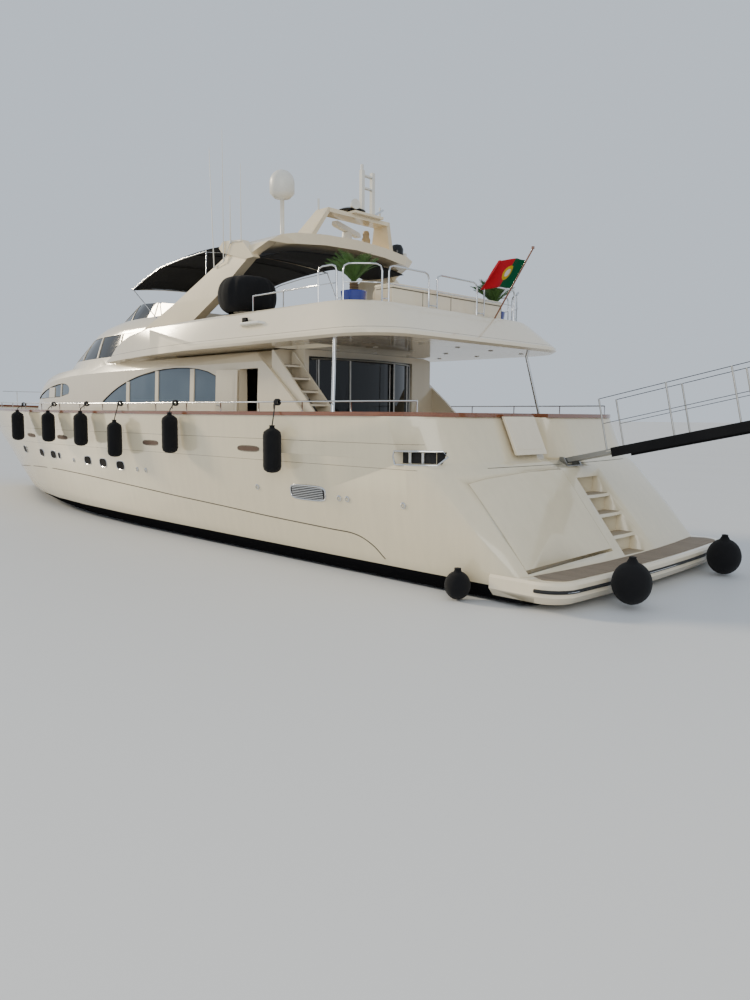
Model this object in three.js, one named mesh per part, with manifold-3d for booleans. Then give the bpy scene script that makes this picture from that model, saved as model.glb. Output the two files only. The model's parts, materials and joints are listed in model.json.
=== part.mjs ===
// Motor yacht, about 28.5 m long, afloat.
// Millimetres. +X runs forward to the bow, +Y to port, +Z up.
// The origin lies on the waterline, on the centreline, 170 mm aft of the bathing platform.

import * as THREE from 'three';
import { mergeVertices } from 'three/addons/utils/BufferGeometryUtils.js';
import Module from 'manifold-3d';

const wasm = await Module();
wasm.setup();

// Driving dimensions
const GAP = 0.4;                 // clear gap between pieces that touch
const DECK_Z = 1900;             // main deck and cockpit sole
const FOREDECK_Z = 2300;
const FOREDECK_X = 21200;
const CAP_THICK = 70;
const CAP_WIDTH = 175;
const CAP_LIP = 22;              // overhang of the cap outside the hull
const BULWARK = 130;
const TRANSOM_FOOT = { x: 940, z: 450 };
const TRANSOM_SLOPE = 1.3;       // rise over run of the raked transom
const TRANSOM_BOW = 180;         // how far the middle of the transom stands aft of its corners
const LEDGE_Z = 1990;
const WELL_AFT_X = 2850;         // forward face of the upper transom
const ROOF_Z = 4100;             // roof of the house and underside of the overhang
const FLY_DECK_Z = 4250;
const FLY_TOP_Z = 4780;
const GATE_PORT_Y = 500;         // sides of the gate's opening in the upper transom
const GATE_STBD_Y = 0;

const model = new THREE.Group();
const COLORS = {
  cream: 0xe9dfc6, white: 0xf1eee2, teak: 0x9a8468, varnish: 0x8a3f22, steel: 0xc9ccce,
  glass: 0x33495c, black: 0x121214, blue: 0x14319a, bronze: 0x9a7440, red: 0xb01820, galvanised: 0x8e9294,
};

function material(color, roughness = 0.4, metalness = 0) {
  return new THREE.MeshStandardMaterial({ color: COLORS[color], roughness, metalness });
}

function add(name, geometry, color, roughness = 0.4, metalness = 0, parent = model) {
  const mesh = new THREE.Mesh(geometry, material(color, roughness, metalness));
  mesh.name = name;
  parent.add(mesh);
  return mesh;
}

// Solids
function solid(geometry) {
  const bare = geometry.clone();
  for (const key of Object.keys(bare.attributes)) if (key !== 'position') bare.deleteAttribute(key);
  const merged = mergeVertices(bare, 1e-3);
  return new wasm.Manifold(new wasm.Mesh({
    numProp: 3,
    vertProperties: new Float32Array(merged.attributes.position.array),
    triVerts: new Uint32Array(merged.index.array),
  }));
}

function toGeometry(shape) {
  const mesh = shape.getMesh();
  const geometry = new THREE.BufferGeometry();
  geometry.setAttribute('position', new THREE.BufferAttribute(new Float32Array(mesh.vertProperties), 3));
  geometry.setIndex(new THREE.BufferAttribute(new Uint32Array(mesh.triVerts), 1));
  return geometry;
}

const join = (...shapes) => shapes.reduce((sum, shape) => sum.add(shape));
const cut = (body, ...tools) => tools.reduce((rest, tool) => rest.subtract(tool), body);
const mirrorY = (shape) => shape.mirror([0, 1, 0]);

// Cuts a body by its neighbours and leaves the clear gap on every face.
const SHIFTS = [[1, 0, 0], [-1, 0, 0], [0, 1, 0], [0, -1, 0], [0, 0, 1], [0, 0, -1]];
const clearOf = (body, ...neighbours) => neighbours.reduce((rest, tool) => SHIFTS.reduce(
  (left, shift) => left.subtract(tool.translate(shift.map((v) => v * GAP * 1.5))), rest), body);

// A closed body through rings of equal point count; each ring is a flat loop of [x, y, z].
function loft(rings) {
  const count = rings[0].length;
  const positions = rings.flat(2);
  const index = [];
  for (let r = 0; r < rings.length - 1; r++) {
    for (let i = 0; i < count; i++) {
      const j = (i + 1) % count;
      const a = r * count + i;
      const b = r * count + j;
      index.push(a, b, a + count, b, b + count, a + count);
    }
  }
  capRing(rings[0], 0, true, index);
  capRing(rings[rings.length - 1], (rings.length - 1) * count, false, index);
  const geometry = new THREE.BufferGeometry();
  geometry.setAttribute('position', new THREE.Float32BufferAttribute(positions, 3));
  geometry.setIndex(index);
  return outward(geometry);
}

function capRing(ring, offset, flip, index) {
  const points = ring.map((p) => new THREE.Vector3(...p));
  const normal = new THREE.Vector3();
  points.forEach((p, i) => {
    const q = points[(i + 1) % points.length];
    normal.add(new THREE.Vector3().crossVectors(p, q));
  });
  normal.normalize();
  const u = new THREE.Vector3(1, 0, 0);
  if (Math.abs(normal.x) > 0.8) u.set(0, 1, 0);
  u.addScaledVector(normal, -u.dot(normal)).normalize();
  const v = new THREE.Vector3().crossVectors(normal, u);
  const flat = points.map((p) => new THREE.Vector2(p.dot(u), p.dot(v)));
  for (const [a, b, c] of THREE.ShapeUtils.triangulateShape(flat, [])) {
    if (flip) index.push(offset + a, offset + c, offset + b);
    else index.push(offset + a, offset + b, offset + c);
  }
}

// Turns a closed mesh right side out, from the sign of its volume.
function outward(geometry) {
  const p = geometry.attributes.position;
  const idx = geometry.index.array;
  let volume = 0;
  const [a, b, c] = [new THREE.Vector3(), new THREE.Vector3(), new THREE.Vector3()];
  for (let i = 0; i < idx.length; i += 3) {
    a.fromBufferAttribute(p, idx[i]);
    b.fromBufferAttribute(p, idx[i + 1]);
    c.fromBufferAttribute(p, idx[i + 2]);
    volume += a.dot(b.cross(c));
  }
  if (volume < 0) {
    const flipped = Array.from(idx);
    for (let i = 0; i < flipped.length; i += 3) {
      [flipped[i + 1], flipped[i + 2]] = [flipped[i + 2], flipped[i + 1]];
    }
    geometry.setIndex(flipped);
  }
  return geometry;
}

function box(x0, x1, y0, y1, z0, z1) {
  const geometry = new THREE.BoxGeometry(x1 - x0, y1 - y0, z1 - z0);
  geometry.translate((x0 + x1) / 2, (y0 + y1) / 2, (z0 + z1) / 2);
  return geometry;
}

function shapeOf(points) {
  return new THREE.Shape(points.map(([a, b]) => new THREE.Vector2(a, b)));
}

// A prism with an outline of [x, y] points between two heights.
function planPrism(points, z0, z1) {
  const geometry = new THREE.ExtrudeGeometry(shapeOf(points), { depth: z1 - z0, bevelEnabled: false });
  geometry.translate(0, 0, z0);
  return geometry;
}

// A prism with an outline of [x, z] points between two sides.
function sidePrism(shape, y0, y1, curveSegments = 8) {
  const outline = Array.isArray(shape) ? shapeOf(shape) : shape;
  const geometry = new THREE.ExtrudeGeometry(outline, { depth: y1 - y0, bevelEnabled: false, curveSegments });
  geometry.rotateX(Math.PI / 2);
  geometry.translate(0, y1, 0);
  return geometry;
}

// A straight round bar between two points.
function bar(a, b, radius, sides = 8, radiusEnd = radius) {
  const from = new THREE.Vector3(...a);
  const to = new THREE.Vector3(...b);
  const along = to.clone().sub(from);
  const geometry = new THREE.CylinderGeometry(radiusEnd, radius, along.length(), sides);
  geometry.applyQuaternion(new THREE.Quaternion().setFromUnitVectors(new THREE.Vector3(0, 1, 0), along.normalize()));
  geometry.translate(...from.add(to).multiplyScalar(0.5).toArray());
  return geometry;
}

// A round tube on a smooth curve through the points, with a ring at each point and some between.
function tube(points, radius, sides = 8, between = 1) {
  const curve = new THREE.CatmullRomCurve3(points.map((p) => new THREE.Vector3(...p)), false, 'centripetal');
  const steps = (points.length - 1) * between;
  const centres = Array.from({ length: steps + 1 }, (_, i) => curve.getPoint(i / steps));
  let normal = new THREE.Vector3(0.1, 0.2, 1).normalize();
  const rings = centres.map((centre, i) => {
    const along = centres[Math.min(i + 1, steps)].clone().sub(centres[Math.max(i - 1, 0)]).normalize();
    normal = normal.clone().addScaledVector(along, -normal.dot(along)).normalize();
    const across = new THREE.Vector3().crossVectors(along, normal);
    return Array.from({ length: sides }, (_, k) => {
      const a = (2 * Math.PI * k) / sides;
      return centre.clone().addScaledVector(normal, radius * Math.cos(a))
        .addScaledVector(across, radius * Math.sin(a)).toArray();
    });
  });
  return loft(rings);
}

// A solid of revolution about the vertical, profile of [radius, z] points.
function turned(profile, x, y, segments = 16) {
  const geometry = new THREE.LatheGeometry(profile.map(([r, z]) => new THREE.Vector2(r, z)), segments);
  geometry.rotateX(Math.PI / 2);
  geometry.translate(x, y, 0);
  return geometry;
}

// A smooth value through a short table of [x, value] rows.
function smooth(rows, x) {
  if (x <= rows[0][0]) return rows[0][1];
  const last = rows.length - 1;
  if (x >= rows[last][0]) return rows[last][1];
  const i = rows.findIndex((row) => row[0] > x) - 1;
  const slope = (k) => {
    if (k <= 0 || k >= last) return (rows[Math.min(k + 1, last)][1] - rows[Math.max(k - 1, 0)][1])
      / (rows[Math.min(k + 1, last)][0] - rows[Math.max(k - 1, 0)][0]);
    const before = (rows[k][1] - rows[k - 1][1]) / (rows[k][0] - rows[k - 1][0]);
    const after = (rows[k + 1][1] - rows[k][1]) / (rows[k + 1][0] - rows[k][0]);
    return before * after <= 0 ? 0 : 2 * before * after / (before + after);
  };
  const [x0, v0] = rows[i];
  const [x1, v1] = rows[i + 1];
  const h = x1 - x0;
  const t = (x - x0) / h;
  return v0 * (1 + 2 * t) * (1 - t) ** 2 + slope(i) * h * t * (1 - t) ** 2
    + v1 * t * t * (3 - 2 * t) + slope(i + 1) * h * t * t * (t - 1);
}

// Hull lines
// columns: x, keel z, chine half-breadth, chine z, mid half-breadth, mid z, sheer half-breadth, sheer z
const HULL = [
  [500, -430, 2950, 60, 3110, 1150, 3230, 2700],
  [3000, -600, 2920, 50, 3170, 1150, 3290, 2740],
  [8000, -880, 2900, 60, 3200, 1180, 3330, 2740],
  [13000, -1060, 2860, 110, 3150, 1230, 3330, 2745],
  [17000, -1120, 2600, 230, 2960, 1330, 3230, 2765],
  [20500, -1000, 1900, 400, 2400, 1450, 2900, 2815],
  [23500, -560, 900, 560, 1500, 1600, 2240, 2870],
  [25600, 640, 330, 1060, 800, 1800, 1560, 2920],
  [27300, 1980, 130, 2160, 330, 2450, 800, 2960],
  [28500, 2800, 50, 2840, 90, 2890, 190, 2990],
];
const column = (k) => HULL.map((row) => [row[0], row[k]]);
const KEEL_Z = column(1);
const CHINE_Y = column(2);
const CHINE_Z = column(3);
const MID_Y = column(4);
const MID_Z = column(5);
const SHEER_Y = column(6);
const SHEER_Z = column(7);
const BOW_X = 28500;

const sheerY = (x) => smooth(SHEER_Y, x);
const sheerZ = (x) => smooth(SHEER_Z, x);

// Half-breadth and height on the topside, t from 0 at the chine to 1 at the sheer.
function topside(x, t) {
  const [cy, cz] = [smooth(CHINE_Y, x), smooth(CHINE_Z, x)];
  const [my, mz] = [smooth(MID_Y, x), smooth(MID_Z, x)];
  const [sy, sz] = [sheerY(x), sheerZ(x)];
  const [a, b, c] = [(1 - t) * (1 - 2 * t), 4 * t * (1 - t), t * (2 * t - 1)];
  return [a * cy + b * my + c * sy, a * cz + b * mz + c * sz];
}

function sideY(x, z) {
  let best = sheerY(x);
  for (let t = 1; t >= 0; t -= 0.02) {
    const [y, h] = topside(x, t);
    best = y;
    if (h <= z) break;
  }
  return best;
}

function hullSection(x) {
  const half = [[0, smooth(KEEL_Z, x)]];
  const [cy, cz] = [smooth(CHINE_Y, x), smooth(CHINE_Z, x)];
  half.push([cy * 0.5, (smooth(KEEL_Z, x) * 0.44 + cz * 0.56)]);
  for (const t of [0, 0.2, 0.4, 0.6, 0.8, 1]) half.push(topside(x, t));
  const port = half.map(([y, z]) => [x, y, z]);
  const starboard = half.slice(1).reverse().map(([y, z]) => [x, -y, z]);
  return [...port, ...starboard];
}

const STATIONS = [500, 1800, 3000, 5000, 7500, 10000, 12500, 15000, 17000, 18800, 20500, 22000, 23500, 24600,
  25600, 26500, 27300, 28000, BOW_X];

// The port half of an aft edge in plan: bowed across the middle, with a round corner.
function aftCurve(aftX, half, radius, bow = 0, turns = 6) {
  const straight = half - radius;
  const points = [0, 1 / 3, 2 / 3].map((t) => [aftX + bow * t * t, straight * t]);
  for (let i = 0; i <= turns; i++) {
    const a = (Math.PI / 2) * (i / turns);
    points.push([aftX + bow + radius * (1 - Math.cos(a)), straight + radius * Math.sin(a)]);
  }
  return points;
}

// A closed outline in plan from its port half, which starts on the centreline.
const bothSides = (port) => [...port.slice(1).reverse().map(([x, y]) => [x, -y]), ...port];

// A plan ring with rounded aft corners, open far ahead.
function aftRing(aftX, half, radius, foreX, z, bow = 0) {
  return bothSides([...aftCurve(aftX, half, radius, bow), [foreX, half]]).map(([x, y]) => [x, y, z]);
}

const transomX = (z) => TRANSOM_FOOT.x + (z - TRANSOM_FOOT.z) / TRANSOM_SLOPE;

// rings of the transom's shape: height, aft x on the centreline, half width, corner radius, bow
const TRANSOM = [
  [-2000, 760, 3075, 330, TRANSOM_BOW], [TRANSOM_FOOT.z, 760, 3075, 330, TRANSOM_BOW],
  [1000, transomX(1000) - TRANSOM_BOW, 3200, 620, TRANSOM_BOW],
  [1850, transomX(1850) - TRANSOM_BOW, 3290, 1080, TRANSOM_BOW], [LEDGE_Z, 2130, 3295, 1100, 120],
  [2040, 2230, 3300, 1100, 60], [2700, 2530, 3335, 1100, 60], [3400, 2850, 3335, 1100, 60],
];
const TRANSOM_SHEER = TRANSOM[6];

// The whole hull before its decks, steps and pockets are cut
const hullForm = solid(loft(STATIONS.map(hullSection))).intersect(
  solid(loft(TRANSOM.map(([z, x, half, radius, bow]) => aftRing(x, half, radius, 31000, z, bow)))));

// The room inside the bulwarks, above the deck.
function deckRoom(fromX, toX, floor) {
  const xs = STATIONS.filter((x) => x > fromX + 50 && x < toX - 50);
  const rings = [fromX, ...xs, toX].map((x) => {
    const low = Math.max(sideY(x, floor) - BULWARK, 40);
    const high = Math.max(sheerY(x) - BULWARK, 60);
    return [[x, -low, floor], [x, low, floor], [x, high, sheerZ(x)], [x, high, 3600], [x, -high, 3600],
      [x, -high, sheerZ(x)]];
  });
  return solid(loft(rings));
}

// The raked hatch in the transom, port of the steps
const HATCH = { y0: 520, y1: 2820, z0: 500, z1: 1800, thick: 270, out: -420, undercut: 70 };
function hatchPrism(grow, deep, undercut = 0) {
  const n = new THREE.Vector2(TRANSOM_SLOPE, -1).normalize();        // inward normal in x and z, pointing ahead
  const along = new THREE.Vector2(1, TRANSOM_SLOPE).normalize();     // up the slope
  const low = new THREE.Vector2(transomX(HATCH.z0), HATCH.z0).addScaledVector(along, -grow * 3);
  const high = new THREE.Vector2(transomX(HATCH.z1), HATCH.z1).addScaledVector(along, grow);
  const outline = [
    low.clone().addScaledVector(n, HATCH.out),
    low.clone().addScaledVector(n, deep).addScaledVector(along, undercut),
    high.clone().addScaledVector(n, deep), high.clone().addScaledVector(n, HATCH.out),
  ];
  return solid(sidePrism(outline.map((p) => [p.x, p.y]), HATCH.y0 - grow, HATCH.y1 + grow));
}

// Steps cut into the transom, starboard of the hatch
const TREADS = [460, 760, 1100, 1410, 1750];      // heights, the last is the top of the flight
const STEP = { y0: -500, y1: 250, lip: 45, deep: 110 };
function stepRecesses() {
  return TREADS.slice(0, -1).map((tread, i) => {
    const head = TREADS[i + 1] - STEP.lip;
    return solid(box(transomX(tread) - 600, transomX(head) - TRANSOM_BOW + STEP.deep, STEP.y0, STEP.y1, tread, head));
  });
}

// A pocket for the mooring hawse in each quarter, which follows the round corner.
function hawseRecess() {
  const slot = solid(box(2540, 3240, 2700, 3600, LEDGE_Z, 2185));
  return cut(slot, solid(turned([[0, 1800], [940, 1800], [940, 2400], [0, 2400]], 3390, 2170, 32)));
}

// A notch in the ledge for the foot of the passerelle
const NOTCH = { x0: 1700, x1: 2180, y0: -450, y1: 200, z0: 1880, z1: 2100 };

const FOREDECK_END = 27100;
function buildHull() {
  const cornered = solid(loft([DECK_Z - 100, 3700].map((z) => aftRing(WELL_AFT_X, 3215, 880, 31000, z))));
  return cut(hullForm,
    deckRoom(WELL_AFT_X, FOREDECK_X, DECK_Z).intersect(cornered),
    deckRoom(FOREDECK_X - 10, FOREDECK_END, FOREDECK_Z),
    solid(box(2000, WELL_AFT_X + 50, GATE_STBD_Y, GATE_PORT_Y, LEDGE_Z, 3000)),
    solid(box(NOTCH.x0, NOTCH.x1, NOTCH.y0, NOTCH.y1, NOTCH.z0, NOTCH.z1)),
    hatchPrism(8, HATCH.thick + 12),
    ...stepRecesses(),
    hawseRecess(), mirrorY(hawseRecess()));
}

const hull = buildHull();
add('hull', toGeometry(hull), 'cream', 0.25);

// The bathing platform wraps the foot of the transom; its teak lies in a shallow pocket.
const PLATFORM = { z0: 110, z1: TRANSOM_FOOT.z - 10, aft: 170, half: 3060, radius: 450, bow: 100, foreX: 1500 };
const TEAK = { aft: 290, half: 2860, radius: 330, foreX: 1000, foreHalf: 2700, deep: 22, proud: 6 };
function platformTeak(inset, z0, z1) {
  const port = [...aftCurve(TEAK.aft + inset, TEAK.half - inset, TEAK.radius, PLATFORM.bow),
    [TEAK.foreX, TEAK.foreHalf - inset]];
  return solid(planPrism(bothSides(port), z0, z1));
}
function buildPlatform() {
  const ring = (inset, z) => aftRing(PLATFORM.aft + inset, PLATFORM.half - inset, PLATFORM.radius - inset * 0.5,
    PLATFORM.foreX, z, PLATFORM.bow);
  const body = solid(loft([ring(110, PLATFORM.z0), ring(0, 230), ring(0, 400), ring(30, PLATFORM.z1)]));
  return clearOf(cut(body, platformTeak(0, PLATFORM.z1 - TEAK.deep, PLATFORM.z1 + 50)), hullForm);
}
add('bathing_platform', toGeometry(buildPlatform()), 'cream', 0.3);
const teakSheet = platformTeak(GAP * 3, PLATFORM.z1 - TEAK.deep + GAP, PLATFORM.z1 + TEAK.proud);
add('platform_teak', toGeometry(clearOf(teakSheet, hullForm)), 'teak', 0.8);

// The varnished cap rail runs from gate to gate round the bow.
function railLine(offset, fromX, toX) {
  return [fromX, ...STATIONS.filter((x) => x > fromX + 200 && x < toX - 100), toX]
    .map((x) => [x, Math.max(sheerY(x) + offset, 20)]);
}

const [, SHEER_AFT_X, , , SHEER_BOW] = TRANSOM_SHEER;
const CAP_CORNER = { aft: SHEER_AFT_X - 20, bow: SHEER_BOW, radius: 1120 };
// Half-breadth of the cap's outer edge, round the aft corner too
function capEdge(x) {
  const { aft, bow, radius } = CAP_CORNER;
  const reach = Math.max(aft + bow + radius - x, 0);
  return sheerY(x) + CAP_LIP - radius + Math.sqrt(Math.max(radius ** 2 - reach ** 2, 0));
}

function buildCap() {
  const half = sheerY(3700) + CAP_LIP;
  const outer = [...aftCurve(CAP_CORNER.aft, half, CAP_CORNER.radius, CAP_CORNER.bow),
    ...railLine(CAP_LIP, 4000, BOW_X + 60)];
  const inner = [...aftCurve(WELL_AFT_X + 10, half - CAP_WIDTH, 880),
    ...railLine(CAP_LIP - CAP_WIDTH, 4000, BOW_X - 240)];
  const ring = cut(solid(planPrism(bothSides(outer), 2500, 3300)), solid(planPrism(bothSides(inner), 2400, 3400)),
    solid(box(2000, WELL_AFT_X + 200, GATE_STBD_Y - 20, GATE_PORT_Y + 20, 2000, 3500)));
  // a band that follows the sheer
  const rows = [2000, ...STATIONS.filter((s) => s > 2500), BOW_X + 200].map((x) => {
    const z = sheerZ(Math.min(x, BOW_X)) + GAP;
    return [[x, -4000, z], [x, 4000, z], [x, 4000, z + CAP_THICK], [x, -4000, z + CAP_THICK]];
  });
  return ring.intersect(solid(loft(rows)));
}
const capRail = clearOf(buildCap(), hull);
add('cap_rail', toGeometry(capRail), 'varnish', 0.25);

// The low stainless rail on the cap, with its stanchions, one each side, and the pulpit forward.
const RAIL_H = 175;
function guardRail(side) {
  const from = 3000;
  const to = 28100;
  const inboard = 67;
  const place = (x, dz = 0) => [x, side * (capEdge(x) - inboard), sheerZ(x) + CAP_THICK + 2 * GAP + dz];
  const rise = (x) => RAIL_H + 370 * THREE.MathUtils.smoothstep(x, 22500, 26500);
  const xs = [];
  for (let x = from; x <= to; x += 1240) xs.push(x);
  const points = [...xs, to].map((x) => place(x, rise(x)));
  points[points.length - 1][1] = side * 60;
  let rail = solid(tube(points, 15, 6));
  for (const x of xs) rail = rail.add(solid(bar(place(x, -10), place(x, rise(x)), 12, 5)));
  return clearOf(rail, capRail);
}
add('guard_rail_port', toGeometry(guardRail(1)), 'steel', 0.2, 1);
add('guard_rail_starboard', toGeometry(guardRail(-1)), 'steel', 0.2, 1);

// Deckhouse
// columns: x, side half-breadth at the deck, half-breadth at the eaves, roof z
const HOUSE = [
  [5000, 2450, 2360, ROOF_Z], [9000, 2450, 2360, ROOF_Z], [12500, 2430, 2340, ROOF_Z], [15000, 2340, 2230, 4095],
  [17500, 2110, 1960, 4070], [18600, 2020, 1860, 4010], [19900, 1840, 1640, 3850], [21000, 1600, 1380, 3550],
  [21900, 1280, 1020, 3240], [22600, 850, 600, 2980], [23000, 420, 260, 2820],
];
const HOUSE_XS = [5000, 7400, 9000, 11000, 12500, 14000, 15000, 16300, 17500, 18600, 19300, 19900, 20500,
  21000, 21500, 21900, 22300, 22600, 23000];
const WALL = 90;

function houseSection(x, inset, floor) {
  const at = (k) => smooth(HOUSE.map((row) => [row[0], row[k]]), x);
  const [low, eave, roof] = [at(1) - inset, at(2) - inset, at(3) - inset];
  const half = [[low, floor], [eave + (low - eave) * 0.12, roof - 260], [eave * 0.965, roof - 60],
    [eave * 0.86, roof - 8], [0, roof]];
  const port = half.map(([y, z]) => [x, y, z]);
  const starboard = half.slice(0, -1).reverse().map(([y, z]) => [x, -y, z]);
  return [...port, ...starboard];
}
const houseSkin = (inset, floor) => solid(loft(HOUSE_XS.map((x) => houseSection(x, inset, floor))));

// Pilothouse on the roof: a raked, rounded front with the windscreen band.
// columns: z, nose x, half width
const SCREEN_LOW = [4240, 19159, 2145];
const SCREEN_HIGH = [4830, 17941, 2005];
const PILOT = [[3700, 20300, 2230], [4220, 19200, 2150], [4850, 17900, 2000], [4960, 17750, 1950],
  [5100, 17300, 1850], [5210, 16600, 1740]];
const BRIDGE_ROOM = [[3600, 20500, 2230], [4220, 19200, 2150], [4850, 17900, 2000], [5100, 17200, 1850]];
const PILOT_AFT_X = 11400;

// The port half of a blunt rounded nose in plan, from its side to the centreline.
function noseCurve(straightX, noseX, half, turns = 12) {
  const blunt = 0.8;
  return Array.from({ length: turns + 1 }, (_, i) => {
    const a = (Math.PI / 2) * (i / turns);
    return [straightX + (noseX - straightX) * Math.sin(a) ** blunt, half * Math.max(Math.cos(a), 0) ** blunt];
  });
}
function noseRing(aftX, straightX, noseX, half, z, turns) {
  const nose = noseCurve(straightX, noseX, half, turns);
  nose[nose.length - 1][1] = 0;
  const port = [[aftX, half], ...nose];
  return [...port, ...port.slice(0, -1).reverse().map(([x, y]) => [x, -y])].map(([x, y]) => [x, y, z]);
}
function pilotSolid(inset, rows = PILOT) {
  return solid(loft(rows.map(([z, nose, half]) => noseRing(PILOT_AFT_X + inset, 13200, nose - inset,
    half - inset, z, 12))));
}

// The windows as [x, z] outlines on the house side
function saloonOutline(grow = 0) {
  const s = new THREE.Shape();
  s.moveTo(9270 - grow, 3005 - grow);
  s.lineTo(9270 - grow, 3470);
  s.bezierCurveTo(9600, 3850 + grow, 11400, 3900 + grow, 12590, 3720 + grow);
  s.quadraticCurveTo(13850, 3560, 14900 + grow, 3070);
  s.lineTo(14900 + grow, 3005 - grow);
  s.closePath();
  return s;
}
function almondOutline(grow = 0) {
  const s = new THREE.Shape();
  s.moveTo(17560 - grow, 3300 - grow);
  s.quadraticCurveTo(17330 - grow, 3600, 18150, 3625 + grow);
  s.quadraticCurveTo(19700, 3560, 21150 + grow, 3215);
  s.lineTo(21150 + grow, 3185 - grow);
  s.lineTo(18300, 3215 - grow);
  s.closePath();
  return s;
}

// The house side ends aft in a thick raked wing with a concave head.
const WING = { low: 2390, high: 2290, cutFrom: 2250 };      // inner faces of the wings at floor and head
const WING_EDGE = [[8050, 4300], [8050, 3990], [7700, 3790], [7380, 3540], [6810, 3080], [6510, 2810],
  [5600, 1900], [5500, 1700], [4000, 1700], [4000, 4300]];
const wingCut = () => solid(sidePrism(WING_EDGE, WING.cutFrom, 2700));

const DOOR = { aft: 7930, fore: 8560, top: 3700, sill: 1960 };
const AFT_WALL_X = 7300;
// Recess for the stair, port of the aft glass
const STAIR_WELL = { aftX: 7000, foreX: 7620, y0: 1720, y1: 2330 };
function buildDeckhouse() {
  const floor = DECK_Z - 60;
  const body = cut(houseSkin(0, DECK_Z + GAP), wingCut(), mirrorY(wingCut())).add(pilotSolid(0));
  const roomXs = [AFT_WALL_X, ...HOUSE_XS.filter((x) => x > AFT_WALL_X && x < 22300)];
  const thickSide = solid(box(7200, 8700, WING.cutFrom - 60, 2500, 1800, 4300));
  const room = cut(solid(loft(roomXs.map((x) => houseSection(x, WALL, floor)))), thickSide, mirrorY(thickSide),
    solid(box(7200, STAIR_WELL.foreX + 70, STAIR_WELL.y0 - 70, 2500, 1800, 4300)));
  const wingRoom = solid(loft([[floor, WING.low], [4300, WING.high]].map(([z, half]) => [
    [4500, -half, z], [AFT_WALL_X - 70, -half, z], [AFT_WALL_X - 70, half, z], [4500, half, z]])));
  const stairWell = solid(box(STAIR_WELL.aftX, STAIR_WELL.foreX, STAIR_WELL.y0, STAIR_WELL.y1, floor, 4300));
  const bridge = pilotSolid(70, BRIDGE_ROOM);
  const windows = join(solid(sidePrism(saloonOutline(), 1000, 2700)), solid(sidePrism(almondOutline(), 1000, 2700)),
    solid(box(DOOR.aft, DOOR.fore, 2100, 2700, DOOR.sill, DOOR.top)));
  return cut(body, room, wingRoom, stairWell, bridge.intersect(solid(box(12600, 18800, -2200, 2200, 3500, 5100))),
    screenBand(0, 0), windows, mirrorY(windows), solid(box(6900, AFT_WALL_X + 30, -1600, 1600, floor, 3960)));
}

// The windscreen band between two heights of the pilothouse front.
function screenBand(inset, trim) {
  const rows = [SCREEN_LOW, SCREEN_HIGH].map(([z, nose, half], i) => [z + trim * (1 - 2 * i), nose, half]);
  const outer = solid(loft(rows.map(([z, nose, half]) => noseRing(PILOT_AFT_X + inset, 13200, nose + 60 - inset,
    half + 60 - inset, z, 12))));
  return outer.intersect(solid(box(13700 + trim, 19600, -2400, 2400, 4100, 5000)));
}

const deckhouse = clearOf(buildDeckhouse(), hull);
add('deckhouse', toGeometry(deckhouse), 'cream', 0.25);

// Glazing
const glassSkin = cut(houseSkin(25, DECK_Z), houseSkin(50, DECK_Z));
for (const [name, side] of [['port', 1], ['starboard', -1]]) {
  const [y0, y1] = side > 0 ? [1000, 2700] : [-2700, -1000];
  const pane = (outline) => toGeometry(glassSkin.intersect(solid(sidePrism(outline, y0, y1))));
  add(`saloon_glass_${name}`, pane(saloonOutline(-GAP)), 'glass', 0.08);
  add(`forward_glass_${name}`, pane(almondOutline(-GAP)), 'glass', 0.08);
}
add('windscreen', toGeometry(cut(pilotSolid(15), pilotSolid(40)).intersect(screenBand(-60, GAP))), 'glass', 0.08);

// Side doors, hung at their forward edge on axes that lean with the house side.
const LEAN = Math.atan2(79, 1940);
const DOOR_AXIS_Y = 2456;
function doorLeaf(side, openDeg) {
  const [width, height, thick] = [DOOR.fore - DOOR.aft - 16, DOOR.top - DOOR.sill - 20, 45];
  const leaf = new THREE.BoxGeometry(width, thick, height);
  leaf.translate(-width / 2 - 8, side * (-thick / 2 - 12), height / 2 + 8);
  leaf.rotateZ(THREE.MathUtils.degToRad(side * openDeg));
  leaf.rotateX(side * LEAN);
  leaf.translate(DOOR.fore, side * DOOR_AXIS_Y, DOOR.sill);
  return leaf;
}
add('side_door_port', doorLeaf(1, -168), 'white', 0.3);
add('side_door_starboard', doorLeaf(-1, 0), 'white', 0.3);

// Curved glass wall and sliding leaf at the aft end of the saloon
const BOW_WALL = { cx: 10100, r: 3200 };
const MULLIONS = [-29.3, -25.2, -12.2, 12.2, 25.2, 29.3];      // degrees
function curvedPane(fromDeg, toDeg, rOuter, thick, z0, z1, steps = 6) {
  const arc = (r, i) => {
    const a = THREE.MathUtils.degToRad(180 + fromDeg + (toDeg - fromDeg) * (i / steps));
    return [BOW_WALL.cx + r * Math.cos(a), r * Math.sin(a)];
  };
  const turns = Array.from({ length: steps + 1 }, (_, i) => i);
  const outside = turns.map((i) => arc(rOuter, i));
  const inside = turns.reverse().map((i) => arc(rOuter - thick, i));
  return planPrism([...outside, ...inside], z0, z1);
}
function buildAftGlass() {
  const head = solid(curvedPane(-29.5, 29.5, BOW_WALL.r + 30, 130, 3900, 3940 - GAP, 12));
  const sill = solid(curvedPane(-29.5, 29.5, BOW_WALL.r + 30, 130, DECK_Z + GAP, DECK_Z + 40, 12));
  let wall = join(head, sill);
  for (const [a, b] of [[-29.4, -12.1], [12.1, 29.4]]) {
    wall = wall.add(solid(curvedPane(a, b, BOW_WALL.r, 22, DECK_Z + 15, 3915)));
  }
  for (const a of MULLIONS) {
    wall = wall.add(solid(curvedPane(a - 0.45, a + 0.45, BOW_WALL.r + 12, 46, DECK_Z + 8, 3925, 1)));
  }
  return wall;
}
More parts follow.
